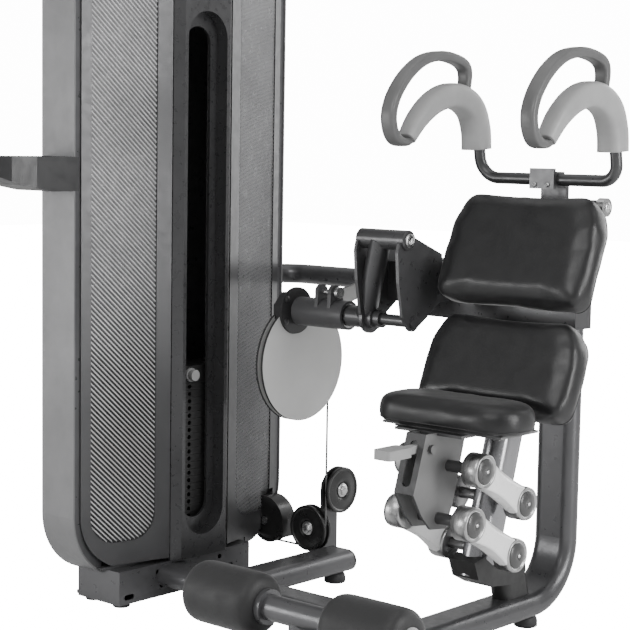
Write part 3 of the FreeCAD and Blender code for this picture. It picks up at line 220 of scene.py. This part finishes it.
def moulded(name, color, rough=0.45, grain=700, depth=0.15, coat=0.0):
    """Moulded plastic or rubber: fine spark-eroded grain and slightly uneven gloss."""
    made, tree, shader = new_material(name, color, rough)
    shader.inputs["Coat Weight"].default_value = coat
    tree.links.new(ramp(tree, noise(tree, 14, 4), tint(color, 0.9), tint(color, 1.12)),
                   shader.inputs["Base Color"])
    tree.links.new(ramp(tree, noise(tree, 45, 4), rough - 0.06, rough + 0.08), shader.inputs["Roughness"])
    add_bump(tree, shader, noise(tree, grain, 2), depth, 0.0004)
    return made


def vinyl(name, color, rough=0.42):
    """Upholstery vinyl: pebbled leather grain with fine creases over it."""
    made, tree, shader = new_material(name, color, rough)
    shader.inputs["Sheen Weight"].default_value = 0.12
    shader.inputs["Sheen Roughness"].default_value = 0.4
    where = place(tree, "ShaderNodeTexCoord")
    pebble = place(tree, "ShaderNodeTexVoronoi", Scale=520, feature="SMOOTH_F1")
    tree.links.new(where.outputs["Object"], pebble.inputs["Vector"])
    crease = noise(tree, 120, 6)
    height = place(tree, "ShaderNodeMath", operation="ADD")
    tree.links.new(pebble.outputs["Distance"], height.inputs[0])
    tree.links.new(crease, height.inputs[1])
    tree.links.new(ramp(tree, noise(tree, 7, 4), tint(color, 0.85), tint(color, 1.2)),
                   shader.inputs["Base Color"])
    tree.links.new(ramp(tree, noise(tree, 30, 5), rough - 0.07, rough + 0.08), shader.inputs["Roughness"])
    add_bump(tree, shader, height.outputs["Value"], 0.22, 0.0007)
    return made


MATERIALS = {
    "frame_paint": painted("frame_paint", (0.085, 0.085, 0.088), 0.32, 0.6),
    "arm_paint": painted("arm_paint", (0.065, 0.065, 0.067), 0.32, 0.55),
    "shell_paint": painted("shell_paint", (0.19, 0.19, 0.193), 0.42, 0.5, 0),
    "panel_paint": painted("panel_paint", (0.06, 0.06, 0.062), 0.36, 0.5, 0),
    "spine_paint": painted("spine_paint", (0.062, 0.062, 0.064), 0.3, 0.55, 0),
    "mesh_back": painted("mesh_back", (0.025, 0.025, 0.026), 0.3, 0.75, 0),
    "mesh_rib": painted("mesh_rib", (0.62, 0.62, 0.63), 0.32, 0.8, 0),
    # the cam, housing and seat carriage are lighter on faces square to x: painted light from the side
    "cam_paint": lit_face_paint("cam_paint", (0.5, 0.5, 0.495), (0.035, 0.035, 0.036), CAM_HUB_RADIUS),
    "housing_paint": lit_face_paint("housing_paint", (0.4, 0.4, 0.395), (0.065, 0.065, 0.067), EARS_RADIUS),
    "boss_steel": brushed("boss_steel", (0.5, 0.5, 0.5), 0.3, (300, 3, 3)),
    "bracket_paint": painted("bracket_paint", (0.07, 0.07, 0.072), 0.4, 0.4),
    "silver": painted("silver", (0.96, 0.96, 0.96), 0.3, 0.0, 0),
    "mast_paint": painted("mast_paint", (0.3, 0.3, 0.31), 0.2, 0.85, 0),
    "seat_steel": lit_face_paint("seat_steel", (0.2, 0.2, 0.2), (0.05, 0.05, 0.051), 0.0),
    "steel": brushed("steel", (0.62, 0.62, 0.62)),
    "shaft_steel": brushed("shaft_steel", (0.2, 0.2, 0.2), 0.32),
    "chrome": brushed("chrome", (0.85, 0.85, 0.85), 0.12),
    "iron": painted("iron", (0.018, 0.018, 0.018), 0.5, 0.3),
    "black_plastic": moulded("black_plastic", (0.012, 0.012, 0.012), 0.3, 700, 0.1, 0.2),
    "cap_plastic": moulded("cap_plastic", (0.05, 0.05, 0.05), 0.3, 260, 0.5, 0.3),
    "tray_plastic": moulded("tray_plastic", (0.022, 0.022, 0.023), 0.34),
    "grey_plastic": moulded("grey_plastic", (0.34, 0.34, 0.34), 0.42, 500, 0.12),
    "loop_plastic": moulded("loop_plastic", (0.11, 0.11, 0.11), 0.38, 500, 0.12),
    "rubber": moulded("rubber", (0.03, 0.03, 0.031), 0.6, 400, 0.25),
    "foam": vinyl("foam", (0.016, 0.016, 0.0165), 0.55),
    "vinyl": vinyl("vinyl", (0.0085, 0.0085, 0.009), 0.38),
}


def dress(obj, name):
    obj.data.materials.clear()
    obj.data.materials.append(MATERIALS[name])


NODE_FINISH = {
    "frame_paint": ["seat_column", "cross_beam", "stabiliser_beam", "tower_base_beam", "bridge_tube",
                    "tower_inner_frame", "roller_post", "lower_pad_bracket", "tower_back_panel"],
    "arm_paint": ["crank_arm", "side_plates", "arm_beam", "harness_post", "harness_tube", "upper_pad_plate",
                  "main_shaft"],
    "housing_paint": ["bearing_housing"],
    "shell_paint": ["tower_shell"],
    "panel_paint": ["front_panels"],
    "spine_paint": ["tower_spine"],
    "mesh_back": ["mesh_panels"],
    "cam_paint": ["drive_cam"],
    "bracket_paint": ["pulley_brackets"],
    "seat_steel": ["seat_carriage"],
    "mast_paint": ["seat_mast"],
    "steel": ["bearing_bushes", "adjuster_pin", "pulley_axles", "pad_hinge_shaft", "selector_rod",
              "return_spring"],
    "shaft_steel": ["base_pivot_pins"],
    "chrome": ["guide_rods"],
    "iron": ["weight_plates", "head_plate", "mast_socket"],
    "black_plastic": ["tube_caps", "pulley_cover"],
    "tray_plastic": ["side_tray"],
    "grey_plastic": ["selector_pin", "seat_lever"],
    "rubber": ["stack_bumpers"],
}

# width in mm of each node's softened edges
SOFT_EDGE = {"tower_shell": 2.0, "tower_spine": 1.5, "tower_base_beam": 1.5, "arm_beam": 3.0,
             "side_plates": 1.2, "seat_carriage": 1.0, "head_plate": 1.5, "drive_cam": 1.5, "crank_arm": 1.0,
             "side_tray": 2.5,
             "seat_lever": 2.5, "tube_caps": 3.0, "harness_post": 2.0, "front_panels": 1.0,
             "tower_back_panel": 1.0, "pulley_brackets": 1.0, "bearing_housing": 1.0, "mast_socket": 4.0}


def finish_cad_nodes():
    """Gives each node that stays its material and breaks its sharp edges."""
    for finish, names in NODE_FINISH.items():
        for name in names:
            obj = NODES[name]
            dress(obj, finish)
            width = SOFT_EDGE.get(name)
            if width:
                bevel = obj.modifiers.new("edge", "BEVEL")
                bevel.width = width * MM
                bevel.segments = 2
                bevel.limit_method = "ANGLE"
                bevel.angle_limit = math.radians(35)
                bevel.harden_normals = True


# ---------------------------------------------------------------- mesh helpers

def add_piece(name, data, body, finish, replaced=()):
    """Links a finished mesh as a piece that rides on a body and takes a finish."""
    obj = bpy.data.objects.new(name, data)
    bpy.context.scene.collection.objects.link(obj)
    dress(obj, finish)
    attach(obj, body)
    if replaced:
        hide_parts(*replaced)
    return obj


def mesh_from(name, vertices, faces, smooth=True):
    data = bpy.data.meshes.new(name)
    data.from_pydata([tuple(v) for v in vertices], [], faces)
    data.validate()
    work = bmesh.new()
    work.from_mesh(data)
    bmesh.ops.recalc_face_normals(work, faces=work.faces)
    for face in work.faces:
        face.smooth = smooth
    work.to_mesh(data)
    work.free()
    return data


def bridge_rings(rings, closed=False, caps=True):
    """Vertices and faces of a skin through rings of equal length."""
    count = len(rings[0])
    vertices = [point for ring in rings for point in ring]
    faces = []
    spans = len(rings) if closed else len(rings) - 1
    for i in range(spans):
        a = i * count
        b = ((i + 1) % len(rings)) * count
        for j in range(count):
            k = (j + 1) % count
            faces.append((a + j, a + k, b + k, b + j))
    if caps and not closed:
        faces.append(tuple(range(count - 1, -1, -1)))
        faces.append(tuple(range((len(rings) - 1) * count, len(rings) * count)))
    return vertices, faces


def side_axes(axis):
    axis = Vector(axis).normalized()
    u = axis.orthogonal().normalized()
    return axis, u, axis.cross(u)


def lathe(name, origin, axis, profile, segments=48, hexagon=()):
    """Turned piece from (height, radius) in mm; rings whose index is in hexagon are six-sided."""
    axis, u, v = side_axes(axis)
    rings = []
    for index, (height, radius) in enumerate(profile):
        ring = []
        for k in range(segments):
            angle = 2 * math.pi * k / segments
            reach = radius
            if index in hexagon:
                reach = radius / math.cos((angle % (math.pi / 3)) - math.pi / 6)
            spoke = u * math.cos(angle) + v * math.sin(angle)
            ring.append(origin + axis * height * MM + spoke * reach * MM)
        rings.append(ring)
    return mesh_from(name, *bridge_rings(rings))


def smooth_through(points, steps):
    """Catmull-Rom curve through points; each point is a tuple of any length."""
    made = []
    padded = [points[0]] + list(points) + [points[-1]]
    for i in range(1, len(padded) - 2):
        p0, p1, p2, p3 = padded[i - 1:i + 3]
        for k in range(steps):
            t = k / steps
            made.append(tuple(0.5 * (2 * b + (c - a) * t + (2 * a - 5 * b + 4 * c - d) * t * t
                                     + (3 * b - a - 3 * c + d) * t ** 3)
                              for a, b, c, d in zip(p0, p1, p2, p3)))
    made.append(tuple(points[-1]))
    return made


def lofted_bar(name, x, route, power, steps=10, around=28):
    """Bar in a plane of constant x. route holds (y, z, half height, half width) in mm; the section is a
    rounded box whose squareness is power."""
    path = smooth_through(route, steps)
    rings = []
    for i, (y, z, high, wide) in enumerate(path):
        before = path[max(i - 1, 0)]
        after = path[min(i + 1, len(path) - 1)]
        way = Vector((0, after[0] - before[0], after[1] - before[1])).normalized()
        out = Vector((0, -way.z, way.y))
        ring = []
        for k in range(around):
            angle = 2 * math.pi * k / around
            c, s = math.cos(angle), math.sin(angle)
            a = math.copysign(abs(c) ** (2 / power), c) * high
            b = math.copysign(abs(s) ** (2 / power), s) * wide
            ring.append((Vector((x, y, z)) + out * a + SIDE * b) * MM)
        rings.append(ring)
    ends = []
    for ring in (rings[0], rings[-1]):
        centre = sum(ring, Vector()) / len(ring)
        ends.append([centre + (point - centre) * 0.9 for point in ring])
    return mesh_from(name, *bridge_rings([ends[0]] + rings + [ends[1]]))


def bolt(name, at, axis, body, radius=7.0, height=5.0, finish="steel"):
    """Button-headed socket screw: domed head with a hexagonal recess."""
    profile = [(0, radius), (height * 0.35, radius), (height * 0.75, radius * 0.86), (height, radius * 0.6),
               (height, radius * 0.46), (height * 0.35, radius * 0.44), (height * 0.3, 0.05)]
    data = lathe(name, Vector(at), axis, profile, 36, hexagon=(4, 5))
    return add_piece(name, data, body, finish)


def middle(node):
    low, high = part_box(node)
    return (Vector(low) + Vector(high)) / 2


def pivot(joint):
    return Vector(JOINTS[joint]["pos_m"])


# ---------------------------------------------------------------- upholstery

CLOTH_FRAMES = 16
SMOOTHING = 14                # rounds of averaging that take the cloth's creases out again


def inflate(obj, pressure, cap):
    """Runs cloth with inner pressure on a remeshed cushion and keeps each point within cap of its start."""
    start = [v.co.copy() for v in obj.data.vertices]
    cloth = obj.modifiers.new("cloth", "CLOTH")
    cloth.settings.use_pressure = True
    cloth.settings.uniform_pressure_force = pressure
    cloth.settings.effector_weights.gravity = 0
    cloth.settings.quality = 5
    cloth.settings.tension_stiffness = 30
    cloth.settings.compression_stiffness = 30
    cloth.settings.bending_stiffness = 2
    cloth.point_cache.frame_start = 1
    cloth.point_cache.frame_end = CLOTH_FRAMES
    scene = bpy.context.scene
    for step in range(1, CLOTH_FRAMES + 1):
        scene.frame_set(step)
    shaped = obj.evaluated_get(bpy.context.evaluated_depsgraph_get())
    moved = [v.co.copy() for v in shaped.data.vertices]
    obj.modifiers.remove(cloth)
    scene.frame_set(1)
    for vertex, home, away in zip(obj.data.vertices, start, moved):
        shift = away - home
        if shift.length > cap:
            shift *= cap / shift.length
        vertex.co = home + shift


def apply_modifiers(obj):
    shaped = obj.evaluated_get(bpy.context.evaluated_depsgraph_get())
    data = bpy.data.meshes.new_from_object(shaped)
    obj.modifiers.clear()
    obj.data = data


def relax(obj, rounds):
    """Evens the surface with a few rounds of averaging."""
    work = bmesh.new()
    work.from_mesh(obj.data)
    for _ in range(rounds):
        bmesh.ops.smooth_vert(work, verts=work.verts, factor=0.5,
                              use_axis_x=True, use_axis_y=True, use_axis_z=True)
    work.to_mesh(obj.data)
    work.free()


def seam_cord(name, obj, at, normal, body, radius=1.3):
    """Sewn welt that follows the cushion's surface where a plane cuts it."""
    work = bmesh.new()
    work.from_mesh(obj.data)
    cut = bmesh.ops.bisect_plane(work, geom=work.verts[:] + work.edges[:] + work.faces[:], plane_co=at,
                                 plane_no=normal)["geom_cut"]
    edges = [g for g in cut if isinstance(g, bmesh.types.BMEdge)]
    start = edges[0].verts[0]
    loop = [start]
    used = set()
    current = start
    while True:
        step = next((e for e in current.link_edges if e in edges and e not in used), None)
        if step is None:
            break
        used.add(step)
        current = step.other_vert(current)
        if current is start:
            break
        loop.append(current)
    points = [v.co.copy() for v in loop][::2]
    work.free()
    curve = bpy.data.curves.new(name, "CURVE")
    curve.dimensions = "3D"
    spline = curve.splines.new("POLY")
    spline.points.add(len(points) - 1)
    for slot, point in zip(spline.points, points):
        slot.co = (*point, 1)
    spline.use_cyclic_u = True
    curve.bevel_depth = radius * MM
    curve.bevel_resolution = 2
    carrier = bpy.data.objects.new(name, curve)
    data = bpy.data.meshes.new_from_object(carrier)
    bpy.data.objects.remove(carrier)
    for polygon in data.polygons:
        polygon.use_smooth = True
    return add_piece(name, data, body, "vinyl")


def upholster(node, body, finish="vinyl", voxel=5.0, pressure=4.0, cap=6.0, rounds=4):
    """Padded piece from a node's solid: remeshed, blown up by cloth simulation, then smoothed."""
    data = NODES[node].data.copy()
    name = node + "_cover"
    obj = add_piece(name, data, body, finish, (node,))
    remesh = obj.modifiers.new("remesh", "REMESH")
    remesh.mode = "VOXEL"
    remesh.voxel_size = voxel * MM
    remesh.use_smooth_shade = True
    apply_modifiers(obj)
    relax(obj, rounds)
    inflate(obj, pressure, cap * MM)
    relax(obj, SMOOTHING)
    dress(obj, finish)
    for polygon in obj.data.polygons:
        polygon.use_smooth = True
    detail = obj.modifiers.new("detail", "SUBSURF")
    detail.levels = 1
    detail.render_levels = 1
    return obj


# ---------------------------------------------------------------- pieces

# each pad leans back by this much over this height
PAD_LEAN = {"upper_back_pad": math.atan2(90, 223), "lower_back_pad": math.atan2(82, 174)}
PAD_SEAM_SETBACK = 26 * MM    # from the pad's middle to the welt near its back
SEAT_SEAM_HEIGHT = 9 * MM


def make_cushions():
    upper = upholster("upper_back_pad", "upper_pad")
    lower = upholster("lower_back_pad", "frame")
    seat = upholster("seat_cushion", "seat", cap=5.0)
    for obj, node, body in ((upper, "upper_back_pad", "upper_pad"), (lower, "lower_back_pad", "frame")):
        low, high = (Vector(corner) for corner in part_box(node))
        lean = PAD_LEAN[node]
        forward = Vector((0, -math.cos(lean), math.sin(lean)))
        centre = (low + high) / 2
        seam_cord(node + "_seam", obj, centre - forward * PAD_SEAM_SETBACK, forward, body)
    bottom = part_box("seat_cushion")[0][2]
    seam_cord("seat_seam", seat, Vector((0, 0, bottom + SEAT_SEAM_HEIGHT)), UP, "seat")


def make_rollers():
    """Foam sleeves with rolled ends on grey hub collars."""
    for side, name in ((-1, "left"), (1, "right")):
        node = name + "_foot_roller"
        low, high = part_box(node)
        half = (high[0] - low[0]) / 2 / MM
        radius = (high[2] - low[2]) / 2 / MM
        centre = middle(node)
        profile = [(-half + 3, 27), (-half, 31), (-half, radius - 22), (-half + 3, radius - 12),
                   (-half + 10, radius - 4), (-half + 22, radius), (-half * 0.4, radius + 0.6),
                   (half * 0.4, radius + 0.6), (half - 22, radius), (half - 10, radius - 4),
                   (half - 3, radius - 12), (half, radius - 22), (half, 31), (half - 3, 27)]
        path = smooth_through(profile, 4)
        data = lathe(node + "_sleeve", centre, SIDE, path, 72)
        obj = add_piece(node + "_sleeve", data, name + "_roller", "foam", (node,))
        outer = centre + SIDE * side * (half - 4) * MM
        cap = lathe(node + "_cap", outer, SIDE * side, [(0, 30), (5, 30), (9, 27), (12, 18), (13, 0.1)], 40)
        add_piece(node + "_cap", cap, name + "_roller", "grey_plastic")


PULLEY_HALF_WIDTH = 13
PULLEY_RADIUS = 55.9
PULLEY_BORE = 6.1


def make_pulleys():
    """Cable pulleys: rim with a groove, a raised ring and a bolted dome hub."""
    for node, body, axis in (("deflector_pulley", "pulley_deflector", SIDE),
                             ("turn_pulley_front", "pulley_front", -DEEP),
                             ("turn_pulley_tower", "pulley_tower", -DEEP),
                             ("top_pulley_side", "pulley_top_side", SIDE),
                             ("top_pulley_stack", "pulley_top_stack", SIDE)):
        centre = middle(node)
        half = PULLEY_HALF_WIDTH
        rim = PULLEY_RADIUS
        bore = PULLEY_BORE
        profile = [(-half, bore), (-half, rim - 2), (-half + 2, rim), (-5, rim), (-2.9, 45), (2.9, 45),
                   (5, rim), (half - 2, rim), (half, rim - 2), (half, rim - 6), (half - 2.5, rim - 9),
                   (half - 1.5, 38), (half, 30), (half + 0.4, 24), (half - 1, 21), (half - 4, 19.5),
                   (half - 4, bore)]
        data = lathe(node + "_wheel", centre, axis, profile, 72)
        edge = add_piece(node + "_wheel", data, body, "black_plastic", (node,))
        bevel = edge.modifiers.new("edge", "BEVEL")
        bevel.width = 0.8 * MM
        bevel.segments = 2
        bevel.harden_normals = True
        hub = [(0, 17), (2, 17), (3, 15), (3, 11), (8, 10.6), (9, 9.6), (9, 0.1)]
        data = lathe(node + "_nut", centre + axis * (half - 3) * MM, axis, hub, 36, hexagon=(3, 4, 5))
        add_piece(node + "_nut", data, "frame", "steel")


ROW_SHIFT = 467.5             # from the routes' y to the frame's
# each point is y, z, half height and half width in mm
ARCH_ROUTE = [(-100, 1040, 30, 29), (-105, 1084, 30, 29), (-126, 1126, 30, 29), (-166, 1149, 29, 28),
              (-214, 1153, 27, 27), (-266, 1136, 24, 25), (-314, 1102, 20, 23), (-350, 1060, 15, 20)]
LOOP_ROUTE = [(-340, 1062, 8, 15), (-360, 1053, 9, 16), (-388, 1058, 11, 17), (-406, 1081, 11, 17),
              (-409, 1116, 11, 17), (-391, 1155, 11, 17), (-352, 1196, 11, 17), (-300, 1226, 11, 17),
              (-240, 1237, 11, 17), (-186, 1231, 11, 17), (-157, 1218, 11, 17), (-149, 1196, 10, 16),
              (-154, 1160, 9, 15)]


def make_harness():
    """Moulded shoulder arches with flattened hand loops above them."""
    for name in ("left", "right"):
        arch_node = name + "_shoulder_arch"
        loop_node = name + "_loop_handle"
        x = middle(arch_node).x / MM
        for node, route, power, finish in ((arch_node, ARCH_ROUTE, 3.2, "grey_plastic"),
                                           (loop_node, LOOP_ROUTE, 4.0, "loop_plastic")):
            placed = [(y + ROW_SHIFT, z, high, wide) for y, z, high, wide in route]
            data = lofted_bar(node + "_moulding", x, placed, power)
            add_piece(node + "_moulding", data, "crunch_arm", finish, (node,))


def link_outline(start, end, radius, waist_up, waist_low, count=14):
    """Closed outline of a link in the y-z plane: two round ends joined by hollow flanks."""
    way = end - start
    unit = way.normalized()
    normal = Vector((0, -unit.z, unit.y))
    points = []

    def flank(waist, sign, forwards):
        for k in range(count + 1):
            t = k / count if forwards else 1 - k / count
            hollow = math.sin(math.pi * t) ** 1.4
            points.append(start + way * t + normal * sign * (radius - (radius - waist) * hollow))

    def cap(centre, heading):
        for k in range(1, count):
            angle = math.pi * k / count
            points.append(centre + (normal * math.cos(angle) + unit * heading * math.sin(angle))
                          * radius * heading)

    flank(waist_up, 1, True)
    cap(end, 1)
    flank(waist_low, -1, False)
    for k in range(1, count):
        angle = math.pi * k / count
        points.append(start - normal * math.cos(angle) * radius - unit * math.sin(angle) * radius)
    return points


def make_links():
    """Cast links: hollow flanks that slope in from the outer face, turned bosses and domed caps."""
    for pair, body, base_joint in (("lower_links", "lower_link_pair", "seat_raise"),
                                   ("upper_links", "upper_link_pair", "seat_raise_upper")):
        base = pivot(base_joint)
        reach = pivot("seat_level") - pivot("seat_raise")
        low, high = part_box(pair)
        centre_x = (low[0] + high[0]) / 2
        for side, label in ((-1, "left"), (1, "right")):
            name = pair + "_" + label
            start = Vector((0, base.y, base.z))
            end = start + Vector((0, reach.y, reach.z))
            rings = []
            for x, r, up, down in ((70, 28, 24, 26), (82, 32, 27, 31), (92, 32, 24, 27), (100, 31, 21, 17),
                                   (102, 29, 18, 13)):
                outline = link_outline(start, end, r * MM, up * MM, down * MM)
                rings.append([Vector((centre_x + side * x * MM, p.y, p.z)) for p in outline])
            data = mesh_from(name + "_casting", *bridge_rings(rings))
            replaced = (pair,) if side < 0 else ()
            obj = add_piece(name + "_casting", data, body, "silver", replaced)
            edge = obj.modifiers.new("edge", "BEVEL")
            edge.width = 1.2 * MM
            edge.segments = 2
            edge.harden_normals = True
            for spot, at in (("base", start), ("seat", end)):
                axis = SIDE * side
                seat_at = Vector((centre_x, at.y, at.z)) + axis * 62 * MM
                boss = [(3, 12.2), (3, 30), (5, 35.5), (36, 35.5), (42.5, 34), (43, 32), (42, 29), (39, 28),
                        (38, 12.2)]
                add_piece(name + "_" + spot + "_boss", lathe(name + "_boss", seat_at, axis, boss, 64), body,
                          "boss_steel")
                dome = [(38.5, 27), (41, 27), (42, 25.5), (44, 21), (45.4, 13), (45.8, 6), (45, 5),
                        (44.8, 0.1)]
                add_piece(name + "_" + spot + "_cap", lathe(name + "_cap", seat_at, axis, dome, 48), body,
                          "cap_plastic")
                dot = [(44.5, 4.2), (46.4, 4), (47.6, 2.6), (47.9, 0.1)]
                add_piece(name + "_" + spot + "_dot", lathe(name + "_dot", seat_at, axis, dot, 24), body,
                          "chrome")


MESH_REACH = (118 * MM, 306 * MM)      # the sheets' inner and outer edges, from the tower's middle
MESH_SHEET = 1.5 * MM                  # thickness of a sheet
MESH_MARGIN = 14 * MM                  # how far a sheet reaches under the panel around its window
MESH_CORNER = 58 * MM
RIB_HEIGHT = 1.1 * MM


def make_mesh_ribs():
    """Fine diagonal ribs that stand on the mesh sheets, clipped to the round-cornered windows."""
    low, high = (Vector(corner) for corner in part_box("mesh_panels"))
    centre_y = (low.y + high.y) / 2
    inner, outer = MESH_REACH
    slope = (high.x - low.x - MESH_SHEET) / (outer - inner)
    bottom, top = low.z + MESH_MARGIN, high.z - MESH_MARGIN
    inside = inner + MESH_MARGIN
    outside = outer - MESH_MARGIN
    for side, label, pitch, lean, half in ((-1, "left", 11.5 * MM, 1.0, 2.0 * MM),
                                           (1, "right", 9.0 * MM, 1.7, 1.3 * MM)):
        vertices, faces = [], []
        z = bottom - (outside - inside) * lean
        while z < top + (outside - inside) * lean:
            run = clip_line(inside, outside, bottom, top, MESH_CORNER, z, lean * -side)
            if run:
                add_rib(vertices, faces, run, side, centre_y, high.x, slope, inner, half)
            z += pitch
        data = mesh_from("mesh_ribs_" + label, vertices, faces, smooth=False)
        add_piece("mesh_ribs_" + label, data, "frame", "mesh_rib")


def clip_line(inside, outside, bottom, top, corner, z0, lean):
    """Part of the line z = z0 + lean * (reach - inside) in a rounded rectangle, as two (reach, z)."""
    steps = 60
    kept = []
    for k in range(steps + 1):
        reach = inside + (outside - inside) * k / steps
        z = z0 + lean * (reach - inside)
        if z < bottom or z > top:
            continue
        edge = min(reach - inside, outside - reach)
        end = min(z - bottom, top - z)
        if edge < corner and end < corner:
            if (corner - edge) ** 2 + (corner - end) ** 2 > corner ** 2:
                continue
        kept.append((reach, z))
    return (kept[0], kept[-1]) if len(kept) > 1 else None


def add_rib(vertices, faces, run, side, centre_y, front_x, slope, inner, half):
    """Triangular bead along one run, standing 1 mm proud of the sheet."""
    base = len(vertices)
    for reach, z in run:
        x = front_x - slope * (reach - inner)
        y = centre_y + side * reach
        vertices.extend([Vector((x, y, z - half)), Vector((x + RIB_HEIGHT, y, z)), Vector((x, y, z + half))])
    faces.extend([(base, base + 1, base + 4, base + 3), (base + 1, base + 2, base + 5, base + 4)])


def islands(data):
    """Bounding corners of each connected part of a mesh."""
    work = bmesh.new()
    work.from_mesh(data)
    bmesh.ops.remove_doubles(work, verts=work.verts, dist=0.00001)
    work.verts.ensure_lookup_table()
    seen = set()
    found = []
    for first in work.verts:
        if first.index in seen:
            continue
        seen.add(first.index)
        part = [first]
        for vertex in part:
            for edge in vertex.link_edges:
                other = edge.other_vert(vertex)
                if other.index not in seen:
                    seen.add(other.index)
                    part.append(other)
        low = Vector(min(v.co[k] for v in part) for k in range(3))
        high = Vector(max(v.co[k] for v in part) for k in range(3))
        found.append((low, high))
    work.free()
    return found


def make_feet():
    """Round rubber feet with a stepped sole under a dome."""
    for index, (low, high) in enumerate(islands(NODES["rubber_feet"].data)):
        tall = (high.z - low.z) / MM
        radius = min(high.x - low.x, high.y - low.y) / 2 / MM
        profile = [(0, 0.1), (0, radius * 0.9), (2, radius), (tall * 0.45, radius),
                   (tall * 0.7, radius * 0.92), (tall * 0.88, radius * 0.76), (tall, radius * 0.5),
                   (tall, 0.1)]
        at = Vector(((low.x + high.x) / 2, (low.y + high.y) / 2, low.z))
        name = "foot_" + str(index)
        replaced = ("rubber_feet",) if index == 0 else ()
        add_piece(name, lathe(name, at, UP, profile, 48), "frame", "rubber", replaced)


CABLE_NEAR = 8 * MM           # faces of the run above the stack lie this close to the rod's axis


def make_cable():
    """The drive cable in two pieces, of which the run above the stack shortens as the stack rises."""
    line = middle("selector_rod")
    top = middle("top_pulley_stack").z
    source = NODES["drive_cable"].data
    for part in ("run", "route"):
        work = bmesh.new()
        work.from_mesh(source)
        other = []
        for face in work.faces:
            spot = face.calc_center_median()
            aside = math.hypot(spot.x - line.x, spot.y - line.y)
            on_run = aside < CABLE_NEAR and spot.z < top
            if on_run != (part == "run"):
                other.append(face)
        bmesh.ops.delete(work, geom=other, context="FACES")
        data = bpy.data.meshes.new("drive_cable_" + part)
        work.to_mesh(data)
        work.free()
        piece = add_piece(data.name, data, "frame", "shaft_steel", ("drive_cable",) if part == "run" else ())
        if part == "run":
            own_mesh(piece)


HEAD_TUBE_RADIUS = 22 * MM
HEAD_TUBE_SETBACK = 27 * MM   # the head tube's axis lies this far in front of the crunch shaft's
CLAMP_BOLT_REACH = 16         # mm from the clamp's middle to each of its screws


def make_bolts():
    """Screws and bolt heads that hold the visible joints."""
    crunch = pivot("crunch")
    head_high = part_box("crank_arm")[1]
    head = Vector((head_high[0], crunch.y - HEAD_TUBE_SETBACK, head_high[2] - HEAD_TUBE_RADIUS))
    bolt("head_tube_bolt", head, SIDE, "crunch_arm", 15, 3, "steel")
    clamp_low, clamp_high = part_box("harness_post")
    for x in (-CLAMP_BOLT_REACH, CLAMP_BOLT_REACH):
        at = Vector((clamp_low[0] / 2 + clamp_high[0] / 2 + x * MM, clamp_low[1] + 0.3 * MM, 0))
        at.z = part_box("harness_tube")[0][2] + 2 * MM
        bolt("clamp_bolt_" + ("a" if x < 0 else "b"), at, -DEEP, "crunch_arm", 5, 4)
    boss = Vector((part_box("pad_hinge_shaft")[1][0], *pivot("upper_pad_tilt").yz))
    bolt("hinge_bolt", boss, SIDE, "crunch_arm", 11, 4)


# ---------------------------------------------------------------- stage

STAGE_WHITE = 18.0
SURROUND_STRENGTH = 0.55
FLOOR_REACH = 14


def add_floor():
    reach = FLOOR_REACH
    corners = [(-reach, -reach, 0), (reach, -reach, 0), (reach, reach, 0), (-reach, reach, 0)]
    data = mesh_from("floor", corners, [(0, 1, 2, 3)])
    floor = bpy.data.objects.new("floor", data)
    bpy.context.scene.collection.objects.link(floor)
    made, tree, shader = new_material("floor", (0.9, 0.9, 0.9), 0.7)
    tree.links.new(ramp(tree, noise(tree, 2, 4), 0.88, 0.92), shader.inputs["Base Color"])
    glow = place(tree, "ShaderNodeEmission", Strength=STAGE_WHITE)
    shown = place(tree, "ShaderNodeMixShader")
    output = tree.nodes["Material Output"]
    tree.links.new(place(tree, "ShaderNodeLightPath").outputs["Is Camera Ray"], shown.inputs["Fac"])
    tree.links.new(shader.outputs["BSDF"], shown.inputs[1])
    tree.links.new(glow.outputs["Emission"], shown.inputs[2])
    tree.links.new(shown.outputs["Shader"], output.inputs["Surface"])
    data.materials.append(made)


def add_light(name, at, target, size, power):
    data = bpy.data.lights.new(name, "AREA")
    data.shape = "RECTANGLE"
    data.size, data.size_y = size
    data.energy = power
    light = bpy.data.objects.new(name, data)
    light.location = at
    light.rotation_euler = (Vector(target) - Vector(at)).to_track_quat("-Z", "Y").to_euler()
    bpy.context.scene.collection.objects.link(light)


def add_lights():
    """Soft grey surroundings for the object under a backdrop that the camera sees as white."""
    world = bpy.data.worlds.new("studio")
    world.use_nodes = True
    tree = world.node_tree
    soft = tree.nodes["Background"]
    soft.inputs["Color"].default_value = (1, 1, 1, 1)
    soft.inputs["Strength"].default_value = SURROUND_STRENGTH
    white = place(tree, "ShaderNodeBackground", Strength=STAGE_WHITE)
    shown = place(tree, "ShaderNodeMixShader")
    tree.links.new(place(tree, "ShaderNodeLightPath").outputs["Is Camera Ray"], shown.inputs["Fac"])
    tree.links.new(soft.outputs["Background"], shown.inputs[1])
    tree.links.new(white.outputs["Background"], shown.inputs[2])
    tree.links.new(shown.outputs["Shader"], tree.nodes["World Output"].inputs["Surface"])
    bpy.context.scene.world = world
    add_light("key", (1.0, -3.2, 3.2), (0, 0, 0.7), (2.0, 2.0), 60)
    add_light("side", (3.6, 0.6, 1.6), (0, 0, 0.7), (1.0, 2.6), 95)
    add_light("rim", (0.6, 3.4, 1.5), (-0.2, 0.2, 0.8), (1.2, 2.4), 38)
    add_light("fill", (-2.4, -3.2, 0.9), (0.2, -0.2, 0.6), (1.4, 1.4), 45)
    add_light("top", (0, 0, 3.6), (0, 0, 0.6), (2.5, 2.5), 20)


add_camera()
finish_cad_nodes()
make_cushions()
make_rollers()
make_pulleys()
make_harness()
make_links()
make_mesh_ribs()
make_feet()
make_cable()
make_bolts()
add_floor()
add_lights()
